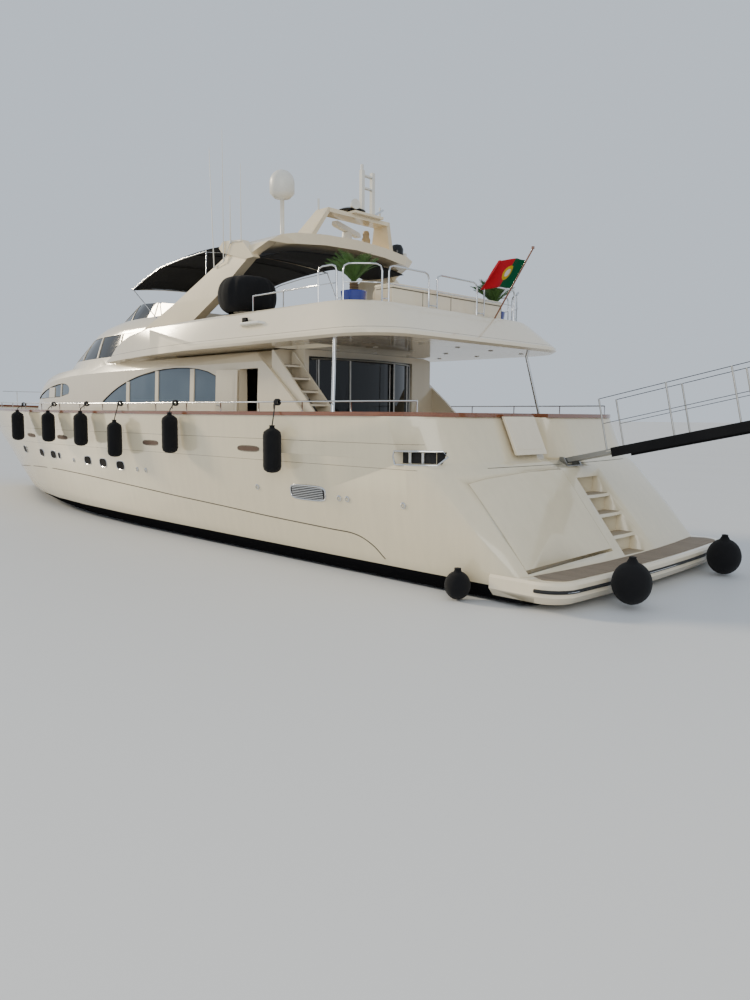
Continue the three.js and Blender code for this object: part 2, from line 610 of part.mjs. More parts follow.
add('saloon_aft_glass', toGeometry(clearOf(buildAftGlass(), deckhouse)), 'glass', 0.08);
add('saloon_door', curvedPane(-12.9, 11.4, BOW_WALL.r - 52, 40, DECK_Z + 50, 3890), 'glass', 0.08);

// Stair from the cockpit to the flybridge, inside the port wing
const STAIR = { y0: 1750, y1: 2310, side: 40, treads: 7, rise: 265, run: 270, footX: 5640, treadThick: 40 };
function buildStair() {
  const floor = DECK_Z + GAP;
  const outline = [[5330, floor], [5830, floor], [7560, 3640], [7560, 4060], [7520, 4060]];
  let flight = join(solid(sidePrism(outline, STAIR.y0, STAIR.y0 + STAIR.side)),
    solid(sidePrism(outline, STAIR.y1 - STAIR.side, STAIR.y1)));
  for (let i = 0; i < STAIR.treads; i++) {
    const x = STAIR.footX + STAIR.run * i;
    const z = DECK_Z + STAIR.rise * (i + 1);
    flight = flight.add(solid(box(x, x + STAIR.run, STAIR.y0 + 20, STAIR.y1 - 20, z - STAIR.treadThick, z)));
  }
  return flight;
}
add('stair', toGeometry(buildStair()), 'cream', 0.4);

// Flybridge: deck, raked coaming and the band that sweeps forward to a point
// columns: z, aft x, half width, corner radius
const FLY = [[ROOF_Z + GAP, 3900, 3020, 950], [4145, 3830, 3100, 1000], [4210, 3850, 3095, 1000],
  [FLY_TOP_Z - 60, 4440, 2830, 950], [FLY_TOP_Z, 4540, 2750, 900]];
// columns: x, z along the top of the band, which ends above all else
const FLY_ABOVE = [[3000, 4700], [5200, 4790], [8000, 4785], [9700, 4770], [11800, 4690], [12800, 4640],
  [13370, 4550], [13960, 4410], [14500, 4200], [15400, 4030], [15800, 4030], [15800, 5700], [3000, 5700]];
// columns: x, half width of the band where it narrows forward
const FLY_TAPER = [[9000, 3110], [11400, 2850], [13600, 2440], [15700, 1950], [15700, 3300], [9000, 3300]];
function buildFlybridge() {
  const outer = solid(loft(FLY.map(([z, x, half, r]) => aftRing(x, half, r, 15600, z))));
  const well = solid(loft([FLY_DECK_Z, FLY_TOP_Z + 60].map((z) => aftRing(4740, 2600, 850, 11100, z))));
  const taper = solid(planPrism(FLY_TAPER, 3900, 5200));
  const hatchway = solid(box(6150, 7480, 1700, 2330, 4000, 4700));
  return cut(outer, well, solid(sidePrism(FLY_ABOVE, -3300, 3300)), taper, mirrorY(taper), hatchway,
    pilotSolid(-GAP * 2), houseSkin(-GAP, DECK_Z - 200));
}
const flybridge = clearOf(buildFlybridge(), deckhouse);
add('flybridge', toGeometry(flybridge), 'cream', 0.25);

// Flybridge windscreen on the pilothouse roof
function buildFlyScreen() {
  const ring = (noseX, half, z) => noseRing(11900, 12600, noseX, half, z, 10);
  const outer = solid(loft([ring(16500, 1720, 5210 + GAP), ring(15450, 1560, 5680)]));
  const inner = solid(loft([ring(16470, 1690, 5190), ring(15410, 1525, 5700)]));
  const above = [[11800, 5400], [13000, 5560], [14200, 5655], [15600, 5690], [17000, 5690], [17000, 5800],
    [11800, 5800]];
  const openAft = solid(box(11800, 12000, -2000, 2000, 5000, 5800));
  return cut(outer, inner, openAft, solid(sidePrism(above, -2000, 2000)));
}
add('fly_windscreen', toGeometry(clearOf(buildFlyScreen(), deckhouse, flybridge)), 'glass', 0.1);

// Radar arch: a broad raked band from coaming to coaming
// columns: y, z, aft x, fore x, thickness
const ARCH = [
  [2370, 4600, 10840, 13060, 240], [2360, 4700, 10650, 12800, 240], [2300, 5300, 9500, 11200, 230],
  [2240, 5800, 8780, 10050, 220], [2190, 6120, 8300, 9350, 215], [2120, 6290, 7880, 9080, 215],
  [1980, 6400, 7600, 8950, 215], [1700, 6460, 7520, 8850, 220], [900, 6540, 7470, 8700, 220],
  [0, 6570, 7450, 8650, 220],
];
function archRing([y, z, aft, fore, thick], side) {
  const steep = y > 2000 ? 1 : y > 1750 ? 0.62 : y > 1300 ? 0.25 : 0;
  const dy = -thick * steep;
  const dz = -thick * Math.sqrt(1 - steep * steep);
  return [[aft, side * y, z], [fore, side * y, z], [fore, side * (y + dy), z + dz], [aft, side * (y + dy), z + dz]];
}
// The winglet outside the top of each leg
const WINGLET = [[8250, 6000], [8550, 5990], [9380, 6230], [9480, 6340], [9320, 6460], [8650, 6400]];
function buildArch() {
  const port = ARCH.map((row) => archRing(row, 1));
  const starboard = ARCH.slice(0, -1).reverse().map((row) => archRing(row, -1));
  const winglet = solid(sidePrism(WINGLET, 2050, 2230));
  return clearOf(join(solid(loft([...port, ...starboard])), winglet, mirrorY(winglet)), flybridge, deckhouse);
}
const arch = buildArch();
add('radar_arch', toGeometry(arch), 'cream', 0.25);

// Bimini: a crowned cover on a bent tube frame, forward of the arch
// columns: x, edge z, crown z
const BIMINI = [[7750, 6120, 6230], [9050, 6150, 6260], [9500, 6430, 6520], [9900, 6520, 6620], [10900, 6530, 6640],
  [12500, 6400, 6520], [13500, 6150, 6280], [14000, 5980, 6110]];
const BIMINI_HALF = 1840;
function coverRing([x, edge, crown], thick) {
  const top = [];
  for (let i = 0; i <= 8; i++) {
    const y = BIMINI_HALF * (1 - i / 4);
    top.push([x, y, edge + (crown - edge) * (1 - (y / BIMINI_HALF) ** 2)]);
  }
  return [...top, ...top.slice().reverse().map(([xx, y, z]) => [xx, y, z - thick])];
}
const biminiCover = solid(loft(BIMINI.map((row) => coverRing(row, 35))));
add('bimini_cover', toGeometry(clearOf(biminiCover, arch)), 'black', 0.9);

function buildBiminiFrame() {
  const half = BIMINI_HALF + 30;
  const hoop = (x, edge, crown) => {
    const points = [];
    for (let i = 0; i <= 8; i++) {
      const y = half * (1 - i / 4);
      points.push([x, y, edge - 60 + (crown - edge) * (1 - (y / half) ** 2)]);
    }
    return solid(tube(points, 16, 6));
  };
  const sideBars = join(solid(tube([[10480, half, 6465], [12500, half, 6340], [13900, half, 5950]], 16, 6, 2)),
    solid(bar([13880, half, 5950], [12700, 1830, 5060], 14, 6)),
    solid(bar([10500, half, 6455], [10250, 2060, 5620], 14, 6)));
  return join(hoop(10500, 6515, 6620), hoop(13900, 6005, 6135), sideBars, mirrorY(sideBars));
}
add('bimini_frame', toGeometry(clearOf(buildBiminiFrame(), arch, deckhouse, flybridge)), 'steel', 0.2, 1);

// Upper mast arch on the radar arch: broad raked legs and a flat beam
// columns: z, aft x, fore x, inner y, outer y
const MAST_LEG = [[6470, 7560, 8180, 1150, 1270], [7085, 7370, 7760, 830, 930]];
function buildMastArch() {
  const leg = solid(loft(MAST_LEG.map(([z, xa, xf, yi, yo]) => [[xa, yi, z], [xf, yi, z], [xf, yo, z], [xa, yo, z]])));
  const mast = join(leg, mirrorY(leg), solid(box(7370, 7760, -890, 890, 7000, 7085)),
    solid(box(7260, 7800, -620, 260, 7080, 7130)));
  return clearOf(mast, arch);
}
const mastArch = buildMastArch();
add('mast_arch', toGeometry(mastArch), 'cream', 0.3);

const LIGHT_MAST = { x: 7400, ys: [-80, -400], z0: 7130 + GAP, z1: 8050, bars: [7670, 7930] };
function buildLightMast() {
  const { x, ys, z0, z1 } = LIGHT_MAST;
  const post = (y) => solid(box(x - 42, x + 42, y - 42, y + 42, z0, z1));
  const bars = LIGHT_MAST.bars.map((z) => solid(box(x - 40, x + 40, ys[1], ys[0], z, z + 35)));
  return join(post(ys[0]), post(ys[1]), ...bars, solid(bar([x, ys[0], z1 - 10], [x, ys[0], z1 + 120], 34)));
}
add('light_mast', toGeometry(buildLightMast()), 'white', 0.4);

// Radar: pedestal and the bar that turns on it
const RADAR = { x: 7950, y: -150, z: 6830, foot: 6540, turn: 23, half: 690 };
const pedestal = turned([[0, RADAR.foot], [170, RADAR.foot], [170, RADAR.foot + 80], [120, RADAR.foot + 130],
  [105, RADAR.z - 8], [0, RADAR.z - 8]], RADAR.x, RADAR.y, 16);
add('radar_pedestal', toGeometry(clearOf(solid(pedestal), arch)), 'white', 0.35);
function buildScanner() {
  const { half } = RADAR;
  const scanner = loft([[-half, 30], [80 - half, 60], [half - 80, 60], [half, 30]].map(([y, h]) => [
    [-60, y, 60 - h], [60, y, 60 - h], [50, y, 60 + h], [-50, y, 60 + h]]));
  scanner.rotateZ(THREE.MathUtils.degToRad(RADAR.turn));
  scanner.translate(RADAR.x, RADAR.y, RADAR.z);
  return scanner;
}
add('radar_scanner', buildScanner(), 'white', 0.35);

// Satellite dome on its post
const DOME = { x: 8200, y: 1500, foot: 6440, bottom: 7285, shoulder: 7610, radius: 265 };
function buildDome() {
  const { foot, bottom, shoulder, radius } = DOME;
  const profile = [[0, foot], [90, foot], [90, foot + 70], [60, foot + 90], [44, foot + 120], [44, bottom],
    [170, bottom + 15], [radius - 3, bottom + 110]];
  for (let i = 0; i <= 6; i++) {
    const a = (Math.PI / 2) * (i / 6);
    profile.push([radius * Math.cos(a), shoulder + radius * Math.sin(a)]);
  }
  profile[profile.length - 1][0] = 0;
  return clearOf(solid(turned(profile, DOME.x, DOME.y, 20)), arch);
}
add('satellite_dome', toGeometry(buildDome()), 'white', 0.3);

// Whip antennas on a thin rail outside the port leg of the arch
// columns: foot x, foot z, tip x, tip z, radius
const WHIPS = [[9640, 5940, 9770, 8500, 14], [9280, 6020, 9280, 8790, 14], [9020, 6410, 9020, 7350, 20],
  [8640, 6370, 8640, 7930, 14]];
const WHIP_Y = 2250;
function buildWhips() {
  const at = (x, z) => [x, WHIP_Y, z];
  const masts = WHIPS.map(([x0, z0, x1, z1, r]) => solid(bar(at(x0, z0 - 10), at(x1, z1), r, 6, r * 0.4)));
  const links = WHIPS.slice(1).map(([x, z], i) => solid(bar(at(WHIPS[i][0], WHIPS[i][1]), at(x, z), 9, 5)));
  return join(...masts, ...links, solid(box(8980, 9060, WHIP_Y - 35, WHIP_Y + 6, 6370, 6420)));
}
add('whip_antennas', toGeometry(clearOf(buildWhips(), arch)), 'white', 0.4);

// Posts under the overhang
for (const [name, side] of [['port', 1], ['starboard', -1]]) {
  const post = solid(bar([4750, side * (sheerY(4750) - 100), sheerZ(4750) + CAP_THICK - 10],
    [4970, side * 2960, ROOF_Z + 20], 34, 10));
  add(`overhang_post_${name}`, toGeometry(clearOf(post, capRail, flybridge)), 'steel', 0.2, 1);
}

// The transom gate lies open against the upper transom, hinged on a raked pin at the port side of the opening.
const GATE = { z0: 2110, z1: 2750, aft: 2152, thick: 55, y0: 524, y1: 1434, rake: 0.4545 };
function buildGate() {
  const lean = GATE.rake * (GATE.z1 - GATE.z0);
  const fore = GATE.aft + GATE.thick;
  return sidePrism([[GATE.aft, GATE.z0], [fore, GATE.z0], [fore + lean, GATE.z1], [GATE.aft + lean, GATE.z1]],
    GATE.y0, GATE.y1);
}
add('transom_gate', buildGate(), 'cream', 0.3);

// The hatch in the raked transom, undercut at its foot so that it swings clear of the sill
add('transom_hatch', toGeometry(hatchPrism(0, HATCH.thick, HATCH.undercut).intersect(hullForm)), 'cream', 0.25);

// Passerelle: a foot in the notch of the ledge and a hinged board
const PASS = { x: 2120, y: -125, z: 1985, length: 4300, half: 330, beam: 180, lift: 12.3, stanchion: 900 };
const STANCHIONS = [-930, -2110, -3140, -4150];
function buildPasserelleFoot() {
  const floor = NOTCH.z0 + GAP;
  const outline = [[1990, floor + 10], [2170, floor + 10], [2160, PASS.z + 60], [2080, PASS.z + 60]];
  const cheek = (y) => solid(sidePrism(outline, y - 20, y + 20));
  return clearOf(join(solid(box(1980, 2172, PASS.y - 290, PASS.y + 290, floor, floor + 20)), cheek(PASS.y + 225),
    cheek(PASS.y - 225)), hull);
}
add('passerelle_foot', toGeometry(buildPasserelleFoot()), 'galvanised', 0.4, 0.6);
function buildPasserelle() {
  const { length, half, beam } = PASS;
  let board = join(solid(box(-1000, -10, -beam, beam, -50, 35)), solid(box(-length, -900, -half, half, -45, 30)));
  for (const y of [half - 25, 25 - half]) {
    for (const x of STANCHIONS) board = board.add(solid(bar([x, y, 0], [x, y, PASS.stanchion], 15, 6)));
  }
  const geometry = toGeometry(board);
  geometry.rotateY(THREE.MathUtils.degToRad(PASS.lift));
  geometry.translate(PASS.x, PASS.y, PASS.z);
  return geometry;
}
add('passerelle', buildPasserelle(), 'galvanised', 0.5, 0.4);

// Cylindrical fenders along the port side, each on its lanyard
// columns: x, top z, bottom z
const FENDERS = [[17870, 2730, 1960], [15590, 2740, 1980], [13610, 2730, 1940], [11880, 2570, 1740],
  [9470, 2720, 1920], [6020, 2550, 1700]];
const FENDER_R = 170;
FENDERS.forEach(([x, top, bottom], i) => {
  const y = sheerY(x) + CAP_LIP + FENDER_R + 12;
  const body = solid(turned([[0, bottom], [75, bottom + 10], [FENDER_R - 15, bottom + 60], [FENDER_R, bottom + 110],
    [FENDER_R, top - 110], [FENDER_R - 15, top - 60], [60, top - 8], [30, top + 40], [0, top + 40]], x, y, 16));
  const strap = solid(bar([x, y, top + 20], [x, sheerY(x) + 62, sheerZ(x) + CAP_THICK + 45], 11, 6));
  add(`fender_${i + 1}`, toGeometry(body.add(strap)), 'black', 0.9);
});

// Ball fenders: one at the port quarter, two at the aft edge of the platform
// columns: name, x, y, z, radius
const BALLS = [['ball_fender_quarter', 1950, 3230, 230, 200], ['ball_fender_aft_1', -130, 1830, 380, 290],
  ['ball_fender_aft_2', -130, -1640, 340, 290]];
for (const [name, x, y, z, r] of BALLS) {
  const profile = [];
  for (let i = 0; i <= 10; i++) {
    const a = -Math.PI / 2 + Math.PI * (i / 10);
    profile.push([Math.max(r * Math.cos(a), 0), z + r * Math.sin(a) * 1.1]);
  }
  profile[0][0] = 0;
  profile[10] = [45, z + r * 1.09];
  profile.push([30, z + r * 1.35], [0, z + r * 1.35]);
  add(name, turned(profile, x, y, 16), 'black', 0.9);
}

// Propellers, shafts and rudders
const DRIVE = { y: 1350, propX: 2650, propZ: -1180, hullX: 6600, hullZ: -640, rudderX: 1750 };
const shaftDir = new THREE.Vector3(DRIVE.hullX - DRIVE.propX, 0, DRIVE.hullZ - DRIVE.propZ).normalize();
const onShaft = (d) => [DRIVE.propX + shaftDir.x * d, DRIVE.y, DRIVE.propZ + shaftDir.z * d];

function underside(x, y) {
  const [k, cy, cz] = [smooth(KEEL_Z, x), smooth(CHINE_Y, x), smooth(CHINE_Z, x)];
  const midZ = k * 0.44 + cz * 0.56;
  return y < cy / 2 ? k + (midZ - k) * (y / (cy / 2)) : midZ + (cz - midZ) * ((y - cy / 2) / (cy / 2));
}

function buildShaft() {
  const strut = sidePrism([[3000, DRIVE.propZ + 90], [3250, DRIVE.propZ + 120], [3330, 0], [3020, 0]], DRIVE.y - 22,
    DRIVE.y + 22);
  return clearOf(join(solid(bar(onShaft(140), onShaft(4400), 45, 10)), solid(strut),
    solid(bar(onShaft(330), onShaft(640), 85, 10))), hull);
}

// columns: radius, chord, half thickness, pitch angle
const BLADE = [[60, 150, 32, 52], [210, 210, 22, 38], [360, 240, 14, 26], [450, 120, 8, 16]];
function buildPropeller() {
  let body = solid(bar([-110, 0, 0], [128, 0, 0], 90, 12, 75));
  const blades = 4;
  for (let i = 0; i < blades; i++) {
    const blade = loft(BLADE.map(([r, chord, half, deg]) => {
      const a = THREE.MathUtils.degToRad(deg);
      const [c, s] = [Math.cos(a) * chord / 2, Math.sin(a) * chord / 2];
      return [[-s, -c, r], [half / 2, 0, r], [s, c, r], [-half / 2, 0, r]];
    }));
    blade.rotateX((Math.PI * 2 * i) / blades);
    body = body.add(solid(blade));
  }
  const geometry = toGeometry(body);
  geometry.applyQuaternion(new THREE.Quaternion().setFromUnitVectors(new THREE.Vector3(1, 0, 0), shaftDir));
  geometry.translate(...onShaft(0));
  return solid(geometry);
}

function buildRudder() {
  const [x, y, top] = [DRIVE.rudderX, DRIVE.y, underside(DRIVE.rudderX, DRIVE.y) - 12];
  const blade = solid(loft([[top - 40, x - 330, x + 250, 55], [DRIVE.propZ - 420, x - 270, x + 190, 32]]
    .map(([z, aft, fore, half]) => [[aft, y, z], [(aft + fore) / 2 + 60, y + half, z], [fore, y, z],
      [(aft + fore) / 2 + 60, y - half, z]])));
  return blade.add(solid(bar([x, y, top - 60], [x, y, top], 40, 10)));
}

const [shaft, propeller, rudder] = [buildShaft(), buildPropeller(), buildRudder()];
for (const [name, hand] of [['port', (s) => s], ['starboard', mirrorY]]) {
  add(`shaft_${name}`, toGeometry(hand(shaft)), 'steel', 0.35, 0.9);
  add(`propeller_${name}`, toGeometry(hand(propeller)), 'bronze', 0.3, 0.9);
  add(`rudder_${name}`, toGeometry(hand(rudder)), 'bronze', 0.4, 0.8);
}

// Ensign staff, raked aft from the coaming, and the flag that streams to port
const STAFF = { foot: [4520, -1050, 4700], tip: [3610, -1050, 6020], radius: 17 };
const truck = turned([[0, 6010], [32, 6010], [32, 6060], [0, 6060]], STAFF.tip[0], STAFF.tip[1], 10);
const staff = join(solid(bar(STAFF.foot, STAFF.tip, STAFF.radius)), solid(truck));
add('ensign_staff', toGeometry(clearOf(staff, flybridge)), 'varnish', 0.4);
// columns: distance from the staff, sway, drop
const FLAG = [[0, 0, 0], [270, 70, 20], [560, -20, 60], [830, 60, 110], [1030, 10, 160]];
function buildFlag() {
  const at = (t) => STAFF.foot.map((v, i) => v + (STAFF.tip[i] - v) * t);
  const [low, high] = [at(0.46), at(0.84)];
  return loft(FLAG.map(([d, sway, drop]) => [[low, -12], [high, -12], [high, 12], [low, 12]].map(([p, x]) => [
    p[0] + x + sway, p[1] + 36 + d, p[2] - drop])));
}
add('flag', buildFlag(), 'red', 0.8);

// Round covered locker on a pedestal, on the port side of the flybridge
const LOCKER = { x: 8560, y: 2160 };
add('covered_locker', turned([[0, FLY_DECK_Z + GAP], [120, FLY_DECK_Z + GAP], [120, 4860], [430, 4870], [590, 5000],
  [620, 5200], [590, 5420], [480, 5560], [250, 5620], [0, 5630]], LOCKER.x, LOCKER.y, 20), 'black', 0.9);

// Potted palms in the aft corners of the flybridge
for (const [name, x, y] of [['port', 5380, 2110], ['starboard', 5200, -2000]]) {
  const rim = 5010;
  const pot = [[0, FLY_DECK_Z + GAP], [150, FLY_DECK_Z + GAP], [215, rim - 210], [245, rim], [205, rim],
    [195, rim - 30], [40, rim - 30], [45, rim + 140], [330, rim + 610], [310, rim + 690], [0, rim + 460]];
  add(`palm_${name}`, turned(pot, x, y, 14), 'blue', 0.3);
}

// Lockers across the aft end of the flybridge
add('fly_lockers', box(4790, 5250, -1700, 1700, FLY_DECK_Z + GAP, 5160), 'cream', 0.4);

// Guard rails round the aft end of the flybridge: a row of hoops with a mid bar
const FLY_RAIL = { sideY: 2660, aftX: 4630, radius: 820, startX: 7700, foot: 4768, top: 5420, mid: 5100, link: 4830 };
const RAIL_SIDE = FLY_RAIL.startX - FLY_RAIL.aftX - FLY_RAIL.radius;
const RAIL_ARC = FLY_RAIL.radius * Math.PI / 2;
const RAIL_HALF = RAIL_SIDE + RAIL_ARC + FLY_RAIL.sideY - FLY_RAIL.radius;

// A point on the rail's line, s measured from its forward port end.
function railPoint(s, z) {
  if (s > RAIL_HALF) {
    const [x, y] = railPoint(2 * RAIL_HALF - s, z);
    return [x, -y, z];
  }
  if (s < RAIL_SIDE) return [FLY_RAIL.startX - s, FLY_RAIL.sideY, z];
  const { aftX, radius, sideY: half } = FLY_RAIL;
  if (s > RAIL_SIDE + RAIL_ARC) return [aftX, half - radius - (s - RAIL_SIDE - RAIL_ARC), z];
  const a = (s - RAIL_SIDE) / radius;
  return [aftX + radius * (1 - Math.sin(a)), half - radius * (1 - Math.cos(a)), z];
}
// columns: start and end of each hoop along the line, port half
const HOOPS = [[1950, 2430], [2560, 3280], [3423, 4513], [4753, 2 * RAIL_HALF - 4753]];
function buildFlyRail() {
  const { foot, top, mid, link } = FLY_RAIL;
  const hoops = [...HOOPS, ...HOOPS.slice(0, 3).reverse().map(([a, b]) => [2 * RAIL_HALF - b, 2 * RAIL_HALF - a])];
  const parts = hoops.flatMap(([a, b]) => {
    const corner = [[a, foot], [a, top - 110], [a + 30, top - 30], [a + 110, top]];
    const far = [[b - 110, top], [b - 30, top - 30], [b, top - 110], [b, foot]];
    const middle = [0.33, 0.67].map((t) => [a + (b - a) * t, top]);
    const line = [...corner, ...middle, ...far].map(([s, z]) => railPoint(s, z));
    const bend = [a, (a + b) / 2, b].map((s) => railPoint(s, mid));
    return [solid(tube(line, 17, 6)), solid(tube(bend, 10, 5, 2))];
  });
  const links = hoops.slice(1).map(([a], i) => solid(bar(railPoint(hoops[i][1], link), railPoint(a, link), 11, 5)));
  const forward = [1, -1].flatMap((side) => [
    solid(bar(railPoint(0, mid).map((v, k) => (k === 1 ? side * v : v)), [5750, side * FLY_RAIL.sideY, mid], 15, 6)),
    ...[0, 950].map((s) => solid(bar([FLY_RAIL.startX - s, side * FLY_RAIL.sideY, foot],
      [FLY_RAIL.startX - s, side * FLY_RAIL.sideY, mid + 5], 14, 6))),
  ]);
  return clearOf(join(...parts, ...links, ...forward), flybridge);
}
add('fly_rail', toGeometry(buildFlyRail()), 'steel', 0.2, 1);

export default model;
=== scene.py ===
"""Motor yacht afloat. Metres, +X to the bow, +Y to port, +Z up, with the floor at the waterline."""

import json
import math
import random

import bmesh
import bpy
from bpy.props import FloatProperty, FloatVectorProperty, IntProperty, PointerProperty
from mathutils import Matrix, Vector
from mathutils.bvhtree import BVHTree

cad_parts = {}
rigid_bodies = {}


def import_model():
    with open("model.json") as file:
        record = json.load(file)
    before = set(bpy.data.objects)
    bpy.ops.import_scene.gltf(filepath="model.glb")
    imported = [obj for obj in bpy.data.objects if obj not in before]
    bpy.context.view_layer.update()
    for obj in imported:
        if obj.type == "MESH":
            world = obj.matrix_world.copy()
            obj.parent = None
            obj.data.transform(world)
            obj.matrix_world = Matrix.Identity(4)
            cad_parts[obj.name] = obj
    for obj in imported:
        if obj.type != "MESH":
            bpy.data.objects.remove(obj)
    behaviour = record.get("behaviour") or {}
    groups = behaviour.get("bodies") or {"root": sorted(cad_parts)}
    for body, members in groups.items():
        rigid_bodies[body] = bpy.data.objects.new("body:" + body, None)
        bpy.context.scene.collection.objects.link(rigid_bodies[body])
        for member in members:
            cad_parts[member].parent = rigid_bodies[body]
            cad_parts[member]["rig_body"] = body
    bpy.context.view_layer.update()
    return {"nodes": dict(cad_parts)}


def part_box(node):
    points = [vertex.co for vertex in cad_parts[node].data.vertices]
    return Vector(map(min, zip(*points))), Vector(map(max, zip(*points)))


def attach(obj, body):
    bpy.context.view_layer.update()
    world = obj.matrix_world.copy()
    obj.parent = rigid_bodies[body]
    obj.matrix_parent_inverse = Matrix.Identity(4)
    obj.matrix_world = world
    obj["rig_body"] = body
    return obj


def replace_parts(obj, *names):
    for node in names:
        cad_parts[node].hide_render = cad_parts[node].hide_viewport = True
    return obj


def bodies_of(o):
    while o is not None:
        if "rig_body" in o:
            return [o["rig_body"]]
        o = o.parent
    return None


bl_info = {
    "name": "Motor Yacht",
    "version": (1, 0, 0),
    "blender": (4, 5, 0),
    "location": "View3D > Sidebar > Yacht",
    "description": "Finishes and fittings of a motor yacht built on its packed solids",
    "category": "Object",
}

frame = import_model()
NODES = frame["nodes"]

# Places that the fittings share with the solids
DECK_Z = 1.9
FOREDECK_Z = 2.3
FLY_DECK_Z = 4.25
DECK_BAND = 0.004
COCKPIT_AFT = 2.8
BOOT_RISE = 0.004
TRANSOM_FOOT = (0.94, 0.45)
TRANSOM_SLOPE = 1.3
TRANSOM_BOW = 0.18
STEP_LEVELS = (0.46, 0.76, 1.10, 1.41)
STEP_SIDES = (-0.46, 0.21)
DOOR_HINGE = Vector((8.56, 2.456, 1.96))
DOOR_LEAN = math.atan2(0.079, 1.94)
PORT_DOOR_OPEN = math.radians(-168)
PASSERELLE_PIN = Vector((2.12, -0.125, 1.985))
PASSERELLE_LIFT = math.radians(12.3)
STAFF_FOOT = Vector((4.52, -1.05, 4.70))
STAFF_TIP = Vector((3.61, -1.05, 6.02))
LOCKER = (8.56, 2.16)
AFT_GLASS_CENTRE = 10.1
GATE_FOOT = (2.152, 2.11)
GATE_LEAN = 0.4545
GATE_HEIGHT = 0.64
SIDE_LIGHT = {"x0": 6.92088, "x1": 7.74894, "y": 2.94904, "z": 4.49091}
RAYS_FROM = {"side": 9, "aft": -4, "ahead": 34, "above": 12}


# Sizes and colours that a user would change

class YachtView(bpy.types.PropertyGroup):
    """Camera and floor."""
    lens: FloatProperty(name="Lens", description="Focal length of the camera", default=28.35, unit="CAMERA")
    sensor: FloatProperty(name="Sensor", description="Height of the sensor", default=36.0, unit="CAMERA")
    yaw: FloatProperty(name="Yaw", description="Heading of the view, from +X towards -Y", subtype="ANGLE",
                       default=math.radians(45.66))
    pitch: FloatProperty(name="Pitch", description="How far the view looks down", default=math.radians(6.19),
                         subtype="ANGLE")
    roll: FloatProperty(name="Roll", description="Tilt of the camera", subtype="ANGLE",
                        default=math.radians(0.44))
    place: FloatVectorProperty(name="Place", description="Place of the camera", unit="LENGTH",
                               default=(-5.286, 12.422, 2.766))
    floor: FloatProperty(name="Floor", description="Half width of the floor", default=400.0, unit="LENGTH")


class YachtPaint(bpy.types.PropertyGroup):
    """Colours of the finishes."""
    hull: FloatVectorProperty(name="Hull", description="Ivory gelcoat of the topsides", subtype="COLOR",
                              default=(0.74, 0.645, 0.45))
    house: FloatVectorProperty(name="House", description="Cream gelcoat of the upperworks", subtype="COLOR",
                               default=(0.80, 0.70, 0.52))
    boot: FloatVectorProperty(name="Boot-top", description="Black underbody", subtype="COLOR",
                              default=(0.008, 0.008, 0.009))
    varnish: FloatVectorProperty(name="Varnish", description="Reddish varnished wood", subtype="COLOR",
                                 default=(0.27, 0.085, 0.028))
    teak: FloatVectorProperty(name="Teak", description="Weathered teak", subtype="COLOR",
                              default=(0.30, 0.235, 0.165))
    canvas: FloatVectorProperty(name="Canvas", description="Black canvas", subtype="COLOR",
                                default=(0.005, 0.005, 0.006))
    glass: FloatVectorProperty(name="Glass", description="Blue-grey tinted glass", subtype="COLOR",
                               default=(0.03, 0.06, 0.095))
    pot: FloatVectorProperty(name="Pot", description="Cobalt glaze", subtype="COLOR",
                             default=(0.01, 0.03, 0.30))


class YachtTrim(bpy.types.PropertyGroup):
    """Sizes of the fittings."""
    boot_height: FloatProperty(name="Boot-top height", description="Top of the black underbody aft",
                               default=0.25, unit="LENGTH")
    plank: FloatProperty(name="Plank", description="Width of a teak plank", default=0.062, unit="LENGTH")
    groove: FloatProperty(name="Groove", description="Width of the line along the topsides", default=0.02,
                          unit="LENGTH")
    lanyard: FloatProperty(name="Lanyard", description="Radius of a fender's rope", default=0.011,
                           unit="LENGTH")
    slats: IntProperty(name="Slats", description="Slats in each engine-room grille", default=7)
    fronds: IntProperty(name="Fronds", description="Fronds of each palm", default=46)


# Shapes

